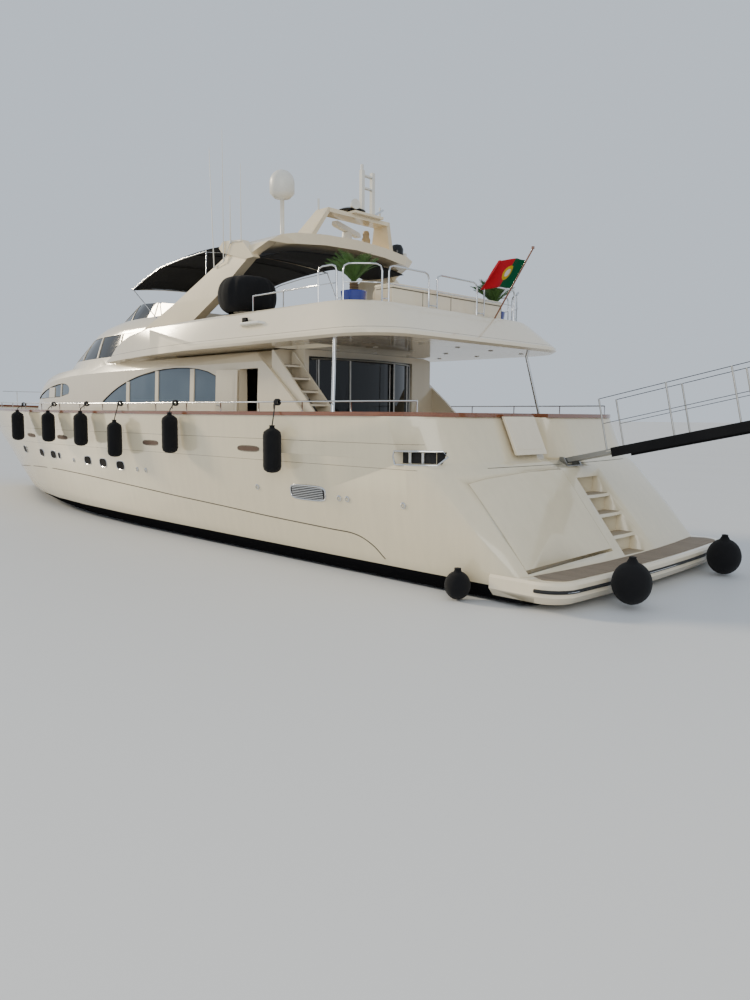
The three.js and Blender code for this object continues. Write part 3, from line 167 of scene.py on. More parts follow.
class Shape:
    """Vertices and faces of a piece, gathered form by form."""

    def __init__(self):
        self.verts = []
        self.faces = []

    def rings(self, rings, closed=True, caps=True):
        base = len(self.verts)
        count = len(rings[0])
        for ring in rings:
            self.verts += [tuple(p) for p in ring]
        last = count if closed else count - 1
        for r in range(len(rings) - 1):
            for i in range(last):
                a = base + r * count + i
                b = base + r * count + (i + 1) % count
                self.faces.append((a, b, b + count, a + count))
        if caps:
            self.faces.append(tuple(base + i for i in reversed(range(count))))
            self.faces.append(tuple(base + (len(rings) - 1) * count + i for i in range(count)))
        return self

    def tube(self, points, radius, sides=8):
        points = [Vector(p) for p in points]
        radii = radius if hasattr(radius, "__len__") else [radius] * len(points)
        normal = Vector((0.1, 0.2, 1)).normalized()
        rings = []
        for i, centre in enumerate(points):
            along = (points[min(i + 1, len(points) - 1)] - points[max(i - 1, 0)]).normalized()
            normal = normal - along * normal.dot(along)
            if normal.length < 1e-3:
                normal = along.orthogonal()
            normal.normalize()
            across = along.cross(normal)
            rings.append([centre + radii[i] * (normal * math.cos(a) + across * math.sin(a))
                          for a in round_turn(sides)])
        return self.rings(rings)

    def box(self, low, high, place=None):
        (x0, y0, z0), (x1, y1, z1) = low, high
        rings = [[(x0, y0, z), (x1, y0, z), (x1, y1, z), (x0, y1, z)] for z in (z0, z1)]
        if place:
            rings = [[place(Vector(p)) for p in ring] for ring in rings]
        return self.rings(rings)

    def lathe(self, profile, centre, axis=(0, 0, 1), sides=24):
        centre, axis = Vector(centre), Vector(axis).normalized()
        u = axis.orthogonal().normalized()
        v = axis.cross(u)
        ways = [u * math.cos(a) + v * math.sin(a) for a in round_turn(sides)]
        return self.rings([[centre + axis * height + max(radius, 0.0005) * way for way in ways]
                           for radius, height in profile])

    def plate(self, outline, depth):
        outline = [Vector(p) for p in outline]
        return self.rings([outline, [p + Vector(depth) for p in outline]])


def round_turn(count):
    """Angles at even steps once round."""
    return [2 * math.pi * k / count for k in range(count)]


def finish_mesh(mesh, angle):
    for polygon in mesh.polygons:
        polygon.use_smooth = True
    mesh.set_sharp_from_angle(angle=math.radians(angle))


def piece(name, shape, matter, body="yacht", angle=40, bevel=0.0):
    """A finished piece from a shape: closed, facing out, riding on its body."""
    mesh = bpy.data.meshes.new(name)
    mesh.from_pydata([tuple(v) for v in shape.verts], [], shape.faces)
    bm = bmesh.new()
    bm.from_mesh(mesh)
    bmesh.ops.recalc_face_normals(bm, faces=bm.faces)
    bm.to_mesh(mesh)
    bm.free()
    return settle(name, mesh, matter, body, angle, bevel)


def settle(name, mesh, matter, body, angle, bevel=0.0):
    """A mesh as an object with its material, riding on its body."""
    obj = bpy.data.objects.new(name, mesh)
    bpy.context.scene.collection.objects.link(obj)
    mesh.materials.clear()
    mesh.materials.append(MATERIALS[matter])
    finish_mesh(mesh, angle)
    if bevel:
        modifier = obj.modifiers.new("Edges", "BEVEL")
        modifier.width = bevel
        modifier.segments = 3
        modifier.limit_method = "ANGLE"
        modifier.angle_limit = math.radians(40)
    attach(obj, body)
    return obj


def body_of(node):
    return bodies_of(NODES[node])[0]


EVENLY_CURVED = ("hull", "satellite_dome")


def dress(node, matter, angle=30, flat=0.3, bevel=0.0):
    """A smooth skin of the same form that stands for a solid."""
    bm = bmesh.new()
    bm.from_mesh(NODES[node].data)
    bmesh.ops.remove_doubles(bm, verts=bm.verts, dist=5e-5)
    if flat:
        bmesh.ops.dissolve_limit(bm, angle_limit=math.radians(flat), verts=bm.verts, edges=bm.edges)
    bmesh.ops.recalc_face_normals(bm, faces=bm.faces)
    mesh = bpy.data.meshes.new(node + "_skin")
    bm.to_mesh(mesh)
    bm.free()
    obj = settle(node + "_skin", mesh, matter, body_of(node), angle, bevel)
    if node not in EVENLY_CURVED:
        weighted = obj.modifiers.new("Weighted", "WEIGHTED_NORMAL")
        weighted.keep_sharp = True
    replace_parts(obj, node)
    return obj


# Points on the solids

TREES = {}


def tree_of(node):
    if node not in TREES:
        mesh = NODES[node].data
        TREES[node] = BVHTree.FromPolygons([v.co for v in mesh.vertices], [p.vertices for p in mesh.polygons])
    return TREES[node]


def cast(node, start, way):
    """Where a ray first meets a solid: the point and the outward normal, or two Nones."""
    return tree_of(node).ray_cast(Vector(start), Vector(way))[:2]


def on_side(node, x, z, side=1):
    return cast(node, (x, side * RAYS_FROM["side"], z), (0, -side, 0))


def from_aft(node, y, z):
    return cast(node, (RAYS_FROM["aft"], y, z), (1, 0, 0))


def from_ahead(node, y, z):
    return cast(node, (RAYS_FROM["ahead"], y, z), (-1, 0, 0))


def from_above(node, x, y):
    return cast(node, (x, y, RAYS_FROM["above"]), (0, 0, -1))


def view_axes(view):
    ahead = Vector((math.cos(view.yaw) * math.cos(view.pitch), -math.sin(view.yaw) * math.cos(view.pitch),
                    -math.sin(view.pitch)))
    right = ahead.cross(Vector((0, 0, 1))).normalized()
    up = right.cross(ahead)
    tilted = right * math.cos(view.roll) + up * math.sin(view.roll)
    return ahead, tilted, tilted.cross(ahead)


def strip(shape, hits, width, height):
    """A thin raised line over the points of a surface that rays have met."""
    hits = [hit for hit in hits if hit[0]]
    rings = []
    points = [p for p, _ in hits]
    for i, (point, normal) in enumerate(hits):
        along = (points[min(i + 1, len(points) - 1)] - points[max(i - 1, 0)]).normalized()
        across = along.cross(normal).normalized() * (width / 2)
        rings.append([point - across - normal * height, point - across + normal * height,
                      point + across + normal * height, point + across - normal * height])
    shape.rings(rings)


def through(rows, count):
    """Points spread evenly by index along a smooth line through rows of [a, b]."""
    points = []
    for i in range(count):
        t = i / (count - 1) * (len(rows) - 1)
        k = min(int(t), len(rows) - 2)
        f = t - k
        quad = [rows[max(k - 1, 0)], rows[k], rows[k + 1], rows[min(k + 2, len(rows) - 1)]]
        points.append([0.5 * (2 * b + (c - a) * f + (2 * a - 5 * b + 4 * c - d) * f * f
                              + (3 * b - a - 3 * c + d) * f ** 3) for a, b, c, d in zip(*quad)])
    return points


def aft_curve(aft, half, radius, bow, turns=8):
    """The outline in plan of a bowed aft edge with round corners, from starboard to port."""
    straight = half - radius
    port = [(aft + bow * t * t, straight * t) for t in (0, 0.25, 0.5, 0.75)]
    for i in range(turns + 1):
        a = math.pi / 2 * i / turns
        port.append((aft + bow + radius * (1 - math.cos(a)), straight + radius * math.sin(a)))
    return [(x, -y) for x, y in reversed(port[1:])] + port


# Node trees

class Nodes:
    """Adds and links nodes in a tree."""

    def __init__(self, tree):
        self.tree = tree

    def add(self, kind, inputs=None, **settings):
        node = self.tree.nodes.new(kind)
        for key, value in settings.items():
            setattr(node, key, value)
        for key, value in (inputs or {}).items():
            if isinstance(value, bpy.types.NodeSocket):
                self.tree.links.new(value, node.inputs[key])
            else:
                node.inputs[key].default_value = value
        return node

    def math(self, operation, a, b=0.0):
        return self.add("ShaderNodeMath", {0: a, 1: b}, operation=operation).outputs[0]

    def mix(self, factor, a, b):
        return self.add("ShaderNodeMix", {0: factor, 6: a, 7: b}, data_type="RGBA").outputs[2]

    def spread(self, value, low, high):
        return self.add("ShaderNodeMapRange", {"Value": value, "To Min": low, "To Max": high}).outputs[0]

    def link(self, value, socket):
        self.tree.links.new(value, socket)

    def place(self):
        return self.add("ShaderNodeTexCoord").outputs["Object"]

    def noise(self, place, scale, detail):
        return self.add("ShaderNodeTexNoise", {"Vector": place, "Scale": scale, "Detail": detail}).outputs[0]

    def stretch(self, place, scale):
        return self.add("ShaderNodeMapping", {"Vector": place, "Scale": scale}).outputs[0]


# Geometry Nodes rows of like blocks

def row_of_blocks(name, start, end, count, size, matter, body="yacht"):
    """Like blocks between two points, made by a node tree and kept as a plain mesh."""
    tree = bpy.data.node_groups.new(name + " row", "GeometryNodeTree")
    nodes = Nodes(tree)
    sockets = {}
    for label, value in (("Start", tuple(start)), ("End", tuple(end)), ("Count", count), ("Size", size)):
        kind = "NodeSocketInt" if label == "Count" else "NodeSocketVector"
        sockets[tree.interface.new_socket(name=label, in_out="INPUT", socket_type=kind).identifier] = value
    tree.interface.new_socket(name="Geometry", in_out="OUTPUT", socket_type="NodeSocketGeometry")
    given = nodes.add("NodeGroupInput").outputs
    line = nodes.add("GeometryNodeMeshLine", {"Count": given["Count"], "Start Location": given["Start"],
                                              "Offset": given["End"]}, mode="END_POINTS")
    block = nodes.add("GeometryNodeMeshCube", {"Size": given["Size"]})
    spread = nodes.add("GeometryNodeInstanceOnPoints", {"Points": line.outputs["Mesh"],
                                                        "Instance": block.outputs["Mesh"]})
    real = nodes.add("GeometryNodeRealizeInstances", {"Geometry": spread.outputs["Instances"]})
    paint = nodes.add("GeometryNodeSetMaterial", {"Geometry": real.outputs["Geometry"],
                                                  "Material": MATERIALS[matter]})
    nodes.add("NodeGroupOutput", {0: paint.outputs["Geometry"]})
    holder = bpy.data.objects.new(name + "_holder", bpy.data.meshes.new(name + "_holder"))
    bpy.context.scene.collection.objects.link(holder)
    modifier = holder.modifiers.new("Row", "NODES")
    modifier.node_group = tree
    for identifier, value in sockets.items():
        modifier[identifier] = value
    holder.update_tag()
    bpy.context.view_layer.update()
    mesh = bpy.data.meshes.new_from_object(holder.evaluated_get(bpy.context.evaluated_depsgraph_get()))
    holder.modifiers.clear()
    bpy.data.objects.remove(holder)
    mesh.name = name
    return settle(name, mesh, matter, body, 30)


# Node groups that the materials share

def new_group(name, inputs, outputs):
    tree = bpy.data.node_groups.new(name, "ShaderNodeTree")
    for label, kind, value in inputs:
        tree.interface.new_socket(name=label, in_out="INPUT", socket_type=kind).default_value = value
    for label, kind in outputs:
        tree.interface.new_socket(name=label, in_out="OUTPUT", socket_type=kind)
    nodes = Nodes(tree)
    return nodes, nodes.add("NodeGroupInput"), nodes.add("NodeGroupOutput")


COLOR, NUMBER = "NodeSocketColor", "NodeSocketFloat"


def build_gelcoat_group():
    """Slow change of tone, faint vertical runs and a changing gloss."""
    nodes, given, out = new_group("Gelcoat tone", [("Color", COLOR, (1, 1, 1, 1)), ("Streaks", NUMBER, 0.1)],
                                  [("Color", COLOR), ("Roughness", NUMBER)])
    place = nodes.place()
    slow = nodes.noise(place, 0.6, 3.0)
    tall = nodes.stretch(place, (7.0, 7.0, 0.5))
    runs = nodes.noise(tall, 1.0, 4.0)
    dark = nodes.mix(nodes.math("MULTIPLY", nodes.spread(runs, -0.6, 1.4), given.outputs["Streaks"]),
                     given.outputs["Color"], (0.35, 0.30, 0.22, 1))
    tone = nodes.mix(nodes.spread(slow, 0.0, 0.12), dark, (0.9, 0.86, 0.74, 1))
    nodes.link(tone, out.inputs["Color"])
    nodes.link(nodes.spread(slow, 0.13, 0.24), out.inputs["Roughness"])
    return nodes.tree


def build_plank_group():
    """Planks along X with dark seams between them."""
    nodes, given, out = new_group("Planking", [("Color", COLOR, (1, 1, 1, 1)), ("Width", NUMBER, 0.06)],
                                  [("Color", COLOR), ("Height", NUMBER)])
    place = nodes.place()
    sideways = nodes.add("ShaderNodeSeparateXYZ", {0: place}).outputs["Y"]
    across = nodes.math("DIVIDE", sideways, given.outputs["Width"])
    seam = nodes.math("LESS_THAN", nodes.math("FRACT", across), 0.1)
    plank = nodes.math("FLOOR", across)
    tone = nodes.add("ShaderNodeTexWhiteNoise", {"W": plank}, noise_dimensions="1D").outputs[0]
    long = nodes.stretch(place, (2.0, 40.0, 40.0))
    grain = nodes.noise(long, 1.5, 5.0)
    wood = nodes.mix(nodes.math("MULTIPLY", nodes.math("ADD", tone, grain), 0.28), given.outputs["Color"],
                     (0.12, 0.08, 0.05, 1))
    nodes.link(nodes.mix(seam, wood, (0.012, 0.011, 0.010, 1)), out.inputs["Color"])
    nodes.link(nodes.math("SUBTRACT", nodes.math("MULTIPLY", grain, 0.2), seam), out.inputs["Height"])
    return nodes.tree


def build_weave_group():
    """A fine crossed weave with slow fading."""
    nodes, given, out = new_group("Weave", [("Color", COLOR, (1, 1, 1, 1)), ("Threads", NUMBER, 500.0)],
                                  [("Color", COLOR), ("Height", NUMBER)])
    place = nodes.place()
    thread = {"Vector": place, "Scale": given.outputs["Threads"], "Distortion": 0.4}
    waves = [nodes.add("ShaderNodeTexWave", thread, bands_direction=way).outputs["Fac"] for way in ("X", "Z")]
    slow = nodes.noise(place, 1.8, 4.0)
    faded = nodes.mix(nodes.spread(slow, 0.0, 0.35), given.outputs["Color"], (0.03, 0.03, 0.031, 1))
    nodes.link(faded, out.inputs["Color"])
    nodes.link(nodes.math("MULTIPLY", waves[0], waves[1]), out.inputs["Height"])
    return nodes.tree


GROUPS = {}
BUILDERS = {"gelcoat": build_gelcoat_group, "planks": build_plank_group, "weave": build_weave_group}


def use_group(nodes, name, values):
    if name not in GROUPS:
        GROUPS[name] = BUILDERS[name]()
    node = nodes.add("ShaderNodeGroup", node_tree=GROUPS[name])
    for key, value in values.items():
        node.inputs[key].default_value = value
    return node


MATERIALS = {}


def material(name, **sockets):
    """A new material with its shader, whose plain values are set on the shader's own sockets."""
    made = bpy.data.materials.new(name)
    made.use_nodes = True
    nodes = Nodes(made.node_tree)
    shader = made.node_tree.nodes["Principled BSDF"]
    for key, value in sockets.items():
        shader.inputs[key.replace("_", " ")].default_value = value
    MATERIALS[name] = made
    return nodes, shader


def bump(nodes, shader, height, strength, distance):
    node = nodes.add("ShaderNodeBump", {"Height": height, "Strength": strength, "Distance": distance})
    nodes.link(node.outputs[0], shader.inputs["Normal"])


def rgba(color, scale=1.0):
    return (*[c * scale for c in color], 1.0)


def gelcoat(name, color, streaks=0.1):
    nodes, shader = material(name, Coat_Weight=0.6, Coat_Roughness=0.06)
    tone = use_group(nodes, "gelcoat", {"Color": rgba(color), "Streaks": streaks})
    nodes.link(tone.outputs["Color"], shader.inputs["Base Color"])
    nodes.link(tone.outputs["Roughness"], shader.inputs["Roughness"])
    return nodes, shader, tone


def at_level(nodes, height, level):
    return nodes.math("MULTIPLY", nodes.math("GREATER_THAN", height, level - DECK_BAND),
                      nodes.math("LESS_THAN", height, level + DECK_BAND))


def hull_paint(paint, trim):
    """Ivory above a black underbody, with teak laid on the decks."""
    nodes, shader, tone = gelcoat("hull_gelcoat", paint.hull, 0.12)
    planks = use_group(nodes, "planks", {"Color": rgba(paint.teak), "Width": trim.plank})
    place = nodes.add("ShaderNodeSeparateXYZ", {0: nodes.place()})
    along, height = place.outputs["X"], place.outputs["Z"]
    line = nodes.math("ADD", nodes.math("MULTIPLY", along, BOOT_RISE), trim.boot_height)
    below = nodes.math("LESS_THAN", height, line)
    decks = nodes.math("ADD", at_level(nodes, height, DECK_Z), at_level(nodes, height, FOREDECK_Z))
    inboard = nodes.math("GREATER_THAN", along, COCKPIT_AFT)
    laid = nodes.mix(nodes.math("MULTIPLY", decks, inboard), tone.outputs["Color"], planks.outputs["Color"])
    nodes.link(nodes.mix(below, laid, rgba(paint.boot)), shader.inputs["Base Color"])
    above = nodes.math("SUBTRACT", 1.0, below)
    nodes.link(nodes.math("MULTIPLY", above, 0.6), shader.inputs["Coat Weight"])
    nodes.link(nodes.math("MULTIPLY", above, 0.5), shader.inputs["Specular IOR Level"])


def deck_paint(name, color, paint, trim, floor):
    """Gelcoat with teak on one level."""
    nodes, shader, tone = gelcoat(name, color, 0.06)
    planks = use_group(nodes, "planks", {"Color": rgba(paint.teak), "Width": trim.plank})
    height = nodes.add("ShaderNodeSeparateXYZ", {0: nodes.place()}).outputs["Z"]
    on_deck = at_level(nodes, height, floor)
    nodes.link(nodes.mix(on_deck, tone.outputs["Color"], planks.outputs["Color"]),
                         shader.inputs["Base Color"])


def wood(name, color, width, roughness, coat):
    nodes, shader = material(name, Roughness=roughness, Coat_Weight=coat, Coat_Roughness=0.05)
    planks = use_group(nodes, "planks", {"Color": rgba(color), "Width": width})
    nodes.link(planks.outputs["Color"], shader.inputs["Base Color"])
    bump(nodes, shader, planks.outputs["Height"], 0.35, 0.003)


def varnish(paint):
    nodes, shader = material("varnished_wood", Roughness=0.22, Coat_Weight=1.0, Coat_Roughness=0.03)
    place = nodes.place()
    long = nodes.stretch(place, (1.2, 30.0, 30.0))
    grain = nodes.noise(long, 2.0, 6.0)
    tone = nodes.mix(nodes.spread(grain, -0.4, 1.3), rgba(paint.varnish), rgba(paint.varnish, 0.35))
    nodes.link(tone, shader.inputs["Base Color"])


def cloth(name, color, threads=500.0, roughness=0.9, sheen=0.05):
    nodes, shader = material(name, Roughness=roughness, Sheen_Weight=sheen, Specular_IOR_Level=0.15)
    weave = use_group(nodes, "weave", {"Color": rgba(color), "Threads": threads})
    nodes.link(weave.outputs["Color"], shader.inputs["Base Color"])
    bump(nodes, shader, weave.outputs["Height"], 0.4, 0.002)


def metal(name, color, low, high, scale=14.0):
    """Metal whose gloss changes over the surface."""
    nodes, shader = material(name, Metallic=1.0)
    place = nodes.place()
    noise = nodes.noise(place, scale, 4.0)
    nodes.link(nodes.spread(noise, low, high), shader.inputs["Roughness"])
    nodes.link(nodes.mix(nodes.spread(noise, 0.0, 0.25), rgba(color), rgba(color, 0.6)),
                         shader.inputs["Base Color"])


def glazing(name, color, high, coat=0.8):
    """Dark tinted glass, a little lighter low down."""
    nodes, shader = material(name, IOR=1.45, Specular_IOR_Level=0.35, Coat_Weight=coat, Coat_Roughness=0.01)
    place = nodes.place()
    noise = nodes.noise(place, 0.9, 2.0)
    nodes.link(nodes.mix(nodes.spread(noise, 0.0, 1.0), rgba(color), rgba(high)), shader.inputs["Base Color"])
    nodes.link(nodes.spread(noise, 0.03, 0.07), shader.inputs["Roughness"])


def plain(name, color, roughness, spread=0.15, scale=9.0, **sockets):
    """Moulded or painted finish with a slight change of tone."""
    nodes, shader = material(name, **sockets)
    place = nodes.place()
    noise = nodes.noise(place, scale, 5.0)
    nodes.link(nodes.mix(nodes.spread(noise, 0.0, spread * 2), rgba(color), rgba(color, 0.55)),
                         shader.inputs["Base Color"])
    nodes.link(nodes.spread(noise, roughness * 0.8, roughness * 1.25), shader.inputs["Roughness"])
    bump(nodes, shader, noise, 0.08, 0.002)


def flag_cloth():
    """Green at the hoist, red at the fly, with a plain yellow disc over the boundary."""
    nodes, shader = material("ensign_cloth", Roughness=0.85, Specular_IOR_Level=0.1)
    uv = nodes.add("ShaderNodeUVMap", uv_map="cloth").outputs[0]
    place = nodes.add("ShaderNodeSeparateXYZ", {0: uv})
    u, v = place.outputs["X"], place.outputs["Y"]
    field = nodes.mix(nodes.math("LESS_THAN", u, 0.4), (0.50, 0.012, 0.022, 1), (0.0, 0.09, 0.035, 1))
    dx = nodes.math("MULTIPLY", nodes.math("SUBTRACT", u, 0.4), 1.7)
    dy = nodes.math("SUBTRACT", v, 0.5)
    squares = [nodes.math("MULTIPLY", d, d) for d in (dx, dy)]
    away = nodes.math("SQRT", nodes.math("ADD", *squares))
    ringed = nodes.mix(nodes.math("LESS_THAN", away, 0.25), field, (0.62, 0.42, 0.02, 1))
    disc = nodes.mix(nodes.math("LESS_THAN", away, 0.13), ringed, (0.72, 0.70, 0.64, 1))
    noise = nodes.noise(uv, 90.0, 3.0)
    nodes.link(nodes.mix(nodes.spread(noise, 0.0, 0.15), disc, (0.02, 0.02, 0.02, 1)),
                         shader.inputs["Base Color"])
    bump(nodes, shader, noise, 0.2, 0.001)


def build_materials():
    paint, trim = bpy.context.scene.yacht_paint, bpy.context.scene.yacht_trim
    hull_paint(paint, trim)
    gelcoat("house_gelcoat", paint.house, 0.08)
    # The arch gelcoat is the house colour made warmer: painted sunlight.
    gelcoat("arch_gelcoat", tuple(c * k for c, k in zip(paint.house, (1.03, 0.99, 0.90))), 0.06)
    # The flybridge gelcoat is the house colour made a little brighter: painted sunlight.
    deck_paint("fly_gelcoat", tuple(c * 1.02 for c in paint.house), paint, trim, FLY_DECK_Z)
    wood("platform_planks", paint.teak, trim.plank, 0.7, 0.0)
    varnish(paint)
    cloth("black_canvas", paint.canvas)
    cloth("black_sock", paint.canvas, 320.0, 0.95, 0.06)
    cloth("cream_vinyl", (0.62, 0.55, 0.42), 260.0, 0.5, 0.05)
    metal("polished_steel", (0.72, 0.73, 0.74), 0.08, 0.2)
    metal("brushed_aluminium", (0.38, 0.38, 0.37), 0.35, 0.55)
    metal("cast_bronze", (0.42, 0.27, 0.11), 0.25, 0.5)
    # The second colour of each glass is painted reflection, mixed in by noise.
    glazing("blue_glass", paint.glass, (0.10, 0.14, 0.18))
    glazing("black_glass", (0.002, 0.0025, 0.003), (0.006, 0.007, 0.009), 0.2)
    plain("port_glass", (0.004, 0.004, 0.005), 0.7, Specular_IOR_Level=0.15)
    plain("white_moulding", (0.76, 0.74, 0.67), 0.35)
    plain("black_rubber", (0.010, 0.010, 0.011), 0.7)
    # Dark strips that stand for the shade in grooves, gaps, recess rims and under ledges: painted shade.
    plain("painted_shade_line", (0.10, 0.085, 0.06), 0.6)
    # Dark brown plates in the scupper openings: painted shade inside the slots.
    plain("painted_shade_slot", (0.09, 0.045, 0.025), 0.6)
    plain("tread_mat", (0.36, 0.29, 0.20), 0.8)
    plain("rope_fibre", (0.016, 0.016, 0.018), 0.9, scale=300.0)
    plain("frond_green", (0.075, 0.17, 0.035), 0.55, 0.3)
    plain("trunk_fibre", (0.13, 0.08, 0.04), 0.9, 0.4, 60.0)
    plain("cobalt_glaze", paint.pot, 0.12, 0.3, Coat_Weight=1.0)
    plain("soft_tan", (0.45, 0.33, 0.18), 0.5)
    flag_cloth()


# Stage

def build_camera():
    view = bpy.context.scene.yacht_view
    data = bpy.data.cameras.new("camera")
    data.sensor_fit = "VERTICAL"
    data.sensor_height = view.sensor
    data.lens = view.lens
    data.clip_end = 2000
    camera = bpy.data.objects.new("camera", data)
    ahead, right, up = view_axes(view)
    camera.matrix_world = Matrix.Translation(view.place) @ Matrix((right, up, -ahead)).transposed().to_4x4()
    bpy.context.scene.collection.objects.link(camera)
    bpy.context.scene.camera = camera


def light(name, kind, energy, color, place, aim, **settings):
    data = bpy.data.lights.new(name, kind)
    data.energy = energy
    data.color = color
    for key, value in settings.items():
        setattr(data, key, value)
    obj = bpy.data.objects.new(name, data)
    obj.location = place
    obj.rotation_euler = (Vector(aim) - Vector(place)).to_track_quat("-Z", "Y").to_euler()
    bpy.context.scene.collection.objects.link(obj)


def build_stage():
    half = bpy.context.scene.yacht_view.floor
    plain("pale_floor", (0.62, 0.63, 0.64), 0.55, 0.03, 0.3)
    mesh = bpy.data.meshes.new("floor")
    corners_of_floor = [(-half, -half, 0), (half, -half, 0), (half, half, 0), (-half, half, 0)]
    mesh.from_pydata(corners_of_floor, [], [(0, 1, 2, 3)])
    mesh.materials.append(MATERIALS["pale_floor"])
    floor = bpy.data.objects.new("floor", mesh)
    bpy.context.scene.collection.objects.link(floor)
    world = bpy.data.worlds.new("studio")
    world.use_nodes = True
    world.node_tree.nodes["Background"].inputs["Color"].default_value = (0.72, 0.80, 0.90, 1)
    world.node_tree.nodes["Background"].inputs["Strength"].default_value = 0.9
    bpy.context.scene.world = world
    light("low_key", "SUN", 3.0, (1.0, 0.86, 0.62), (60, 18, 24), (8, 0, 3), angle=math.radians(10))
    light("soft_fill", "AREA", 2200, (1.0, 0.97, 0.90), (-14, 20, 12), (6, 0, 2), size=16.0)


# Hull

# columns: x, half length; the dark oval ports stand on a line that falls aft
PORTS = [(18.85, 0.20), (17.2, 0.20), (16.3, 0.20), (15.87, 0.09), (14.04, 0.20), (13.17, 0.20),
         (12.26, 0.20)]
PORT_LINE = [(12.26, 1.51), (18.85, 1.66)]
OUTLETS = [(14.9, 1.51), (11.45, 1.46), (11.05, 1.46), (6.86, 1.37), (4.58, 1.33), (4.38, 1.33), (3.1, 1.33)]
SCUPPERS = [17.8, 15.4, 10.7, 7.05]
GROOVE = [(22.3, 0.95), (16.6, 1.20), (9.2, 0.93), (6.7, 0.82), (5.0, 0.76), (4.3, 0.73), (3.9, 0.58),
          (3.65, 0.37)]
OUTLET = [(0.03, -0.01), (0.058, -0.01), (0.055, 0.014), (0.038, 0.02), (0.034, -0.004), (0, -0.004)]
GRILLE = {"x0": 4.93, "x1": 5.87, "z0": 1.235, "z1": 1.495}
SLAT = (0.84, 0.013, 0.012)


def power(value, n):
    return math.copysign(abs(value) ** n, value)


def oval(point, normal, half_long, half_high, steps=24, square=0.7):
    """A closed loop on a surface, from an ellipse at square 1 towards a rounded box."""
    along = Vector((1, 0, 0)) - normal * normal.x
    along.normalize()
    up = normal.cross(along)
    loop = []
    for a in round_turn(steps):
        ahead, high = power(math.cos(a), square), power(math.sin(a), square)
        loop.append(point + along * half_long * ahead + up * half_high * high)
    return loop


def closed_tube(shape, loop, radius, sides=6):
    shape.tube(loop + loop[:2], radius, sides)


def ramp(rows, x):
    (x0, z0), (x1, z1) = rows
    return z0 + (z1 - z0) * (x - x0) / (x1 - x0)


def build_hull_openings():
    rims, panes, outlets, slots, lines = Shape(), Shape(), Shape(), Shape(), Shape()
    for side in (1, -1):
        for x, half in PORTS:
            point, normal = on_side("hull", x, ramp(PORT_LINE, x), side)
            ring = oval(point, normal, half, min(half, 0.11))
            closed_tube(rims, ring, 0.011)
            panes.plate([p - normal * 0.01 for p in ring], normal * 0.014)
        for x, z in OUTLETS:
            point, normal = on_side("hull", x, z, side)
            outlets.lathe(OUTLET, point, normal, 18)
        for x in SCUPPERS:
            hit = on_side("hull", x, 2.10, side)
            # A brown plate in each scupper opening is painted shade.
            slots.plate([p - hit[1] * 0.01 for p in oval(*hit, 0.33, 0.045)], hit[1] * 0.013)
            # The dark rings round the scuppers and the dark line along the groove are painted shade.
            closed_tube(lines, oval(*hit, 0.34, 0.055), 0.007)
        path = [on_side("hull", x, z, side) for x, z in through(GROOVE, 70)]
        strip(lines, path, bpy.context.scene.yacht_trim.groove, 0.004)
    piece("hull_port_rims", rims, "polished_steel")
    piece("hull_port_panes", panes, "port_glass")
    piece("hull_outlets", outlets, "polished_steel")
    piece("hull_scupper_slots", slots, "painted_shade_slot")
    piece("hull_groove", lines, "painted_shade_line")


def build_grilles():
    g = GRILLE
    count = bpy.context.scene.yacht_trim.slats
    mid = (g["x0"] + g["x1"]) / 2
    for name, side in (("port", 1), ("starboard", -1)):
        point, normal = on_side("hull", mid, (g["z0"] + g["z1"]) / 2, side)
        ring = oval(point, normal, (g["x1"] - g["x0"]) / 2, (g["z1"] - g["z0"]) / 2, 48, 0.45)
        frame_shape, back = Shape(), Shape()
        closed_tube(frame_shape, ring, 0.016, 8)
        # A black plate behind the slats stands for the shade inside the vent: painted shade.
        back.plate([p - normal * 0.02 for p in ring], normal * 0.024)
        piece("grille_frame_" + name, frame_shape, "polished_steel")
        piece("grille_shade_back_" + name, back, "black_rubber")
        low = on_side("hull", mid, g["z0"] + 0.035, side)[0] + normal * 0.008
        high = on_side("hull", mid, g["z1"] - 0.035, side)[0] + normal * 0.008
        row_of_blocks("grille_slats_" + name, low, high, count, SLAT, "polished_steel")


def build_hawse():
    """Stainless lips round the mooring pockets in the quarters."""
    lips, posts, pocket_shade = Shape(), Shape(), Shape()
    for side in (1, -1):
        # Dark strips inside the pockets stand for the shade there: painted shade over linings that are really
        # stainless.
        strip(pocket_shade, [on_side("hull", 2.57 + 0.064 * k, 2.088, side) for k in range(11)], 0.185, 0.004)
        edge = [(2.58, 2.0), (2.75, 2.0), (2.92, 2.0), (3.10, 2.0), (3.24, 2.0), (3.27, 2.09), (3.24, 2.175),
                (3.10, 2.175), (2.92, 2.175), (2.75, 2.175), (2.58, 2.175), (2.515, 2.09)]
        loop = [on_side("hull", x, z + (-0.018 if z < 2.09 else 0.022), side)[0] for x, z in edge]
        closed_tube(lips, loop, 0.017, 8)
        for x, y in ((2.86, 3.01), (3.05, 3.10)):
            posts.lathe([(0.03, 1.992), (0.03, 2.16), (0.04, 2.175), (0, 2.18)], (x, side * y, 0), sides=14)
    piece("hawse_pocket_shade", pocket_shade, "black_rubber")
    piece("hawse_lips", lips, "polished_steel")
    piece("hawse_bitts", posts, "polished_steel")


def transom_x(z):
    return TRANSOM_FOOT[0] + (z - TRANSOM_FOOT[1]) / TRANSOM_SLOPE


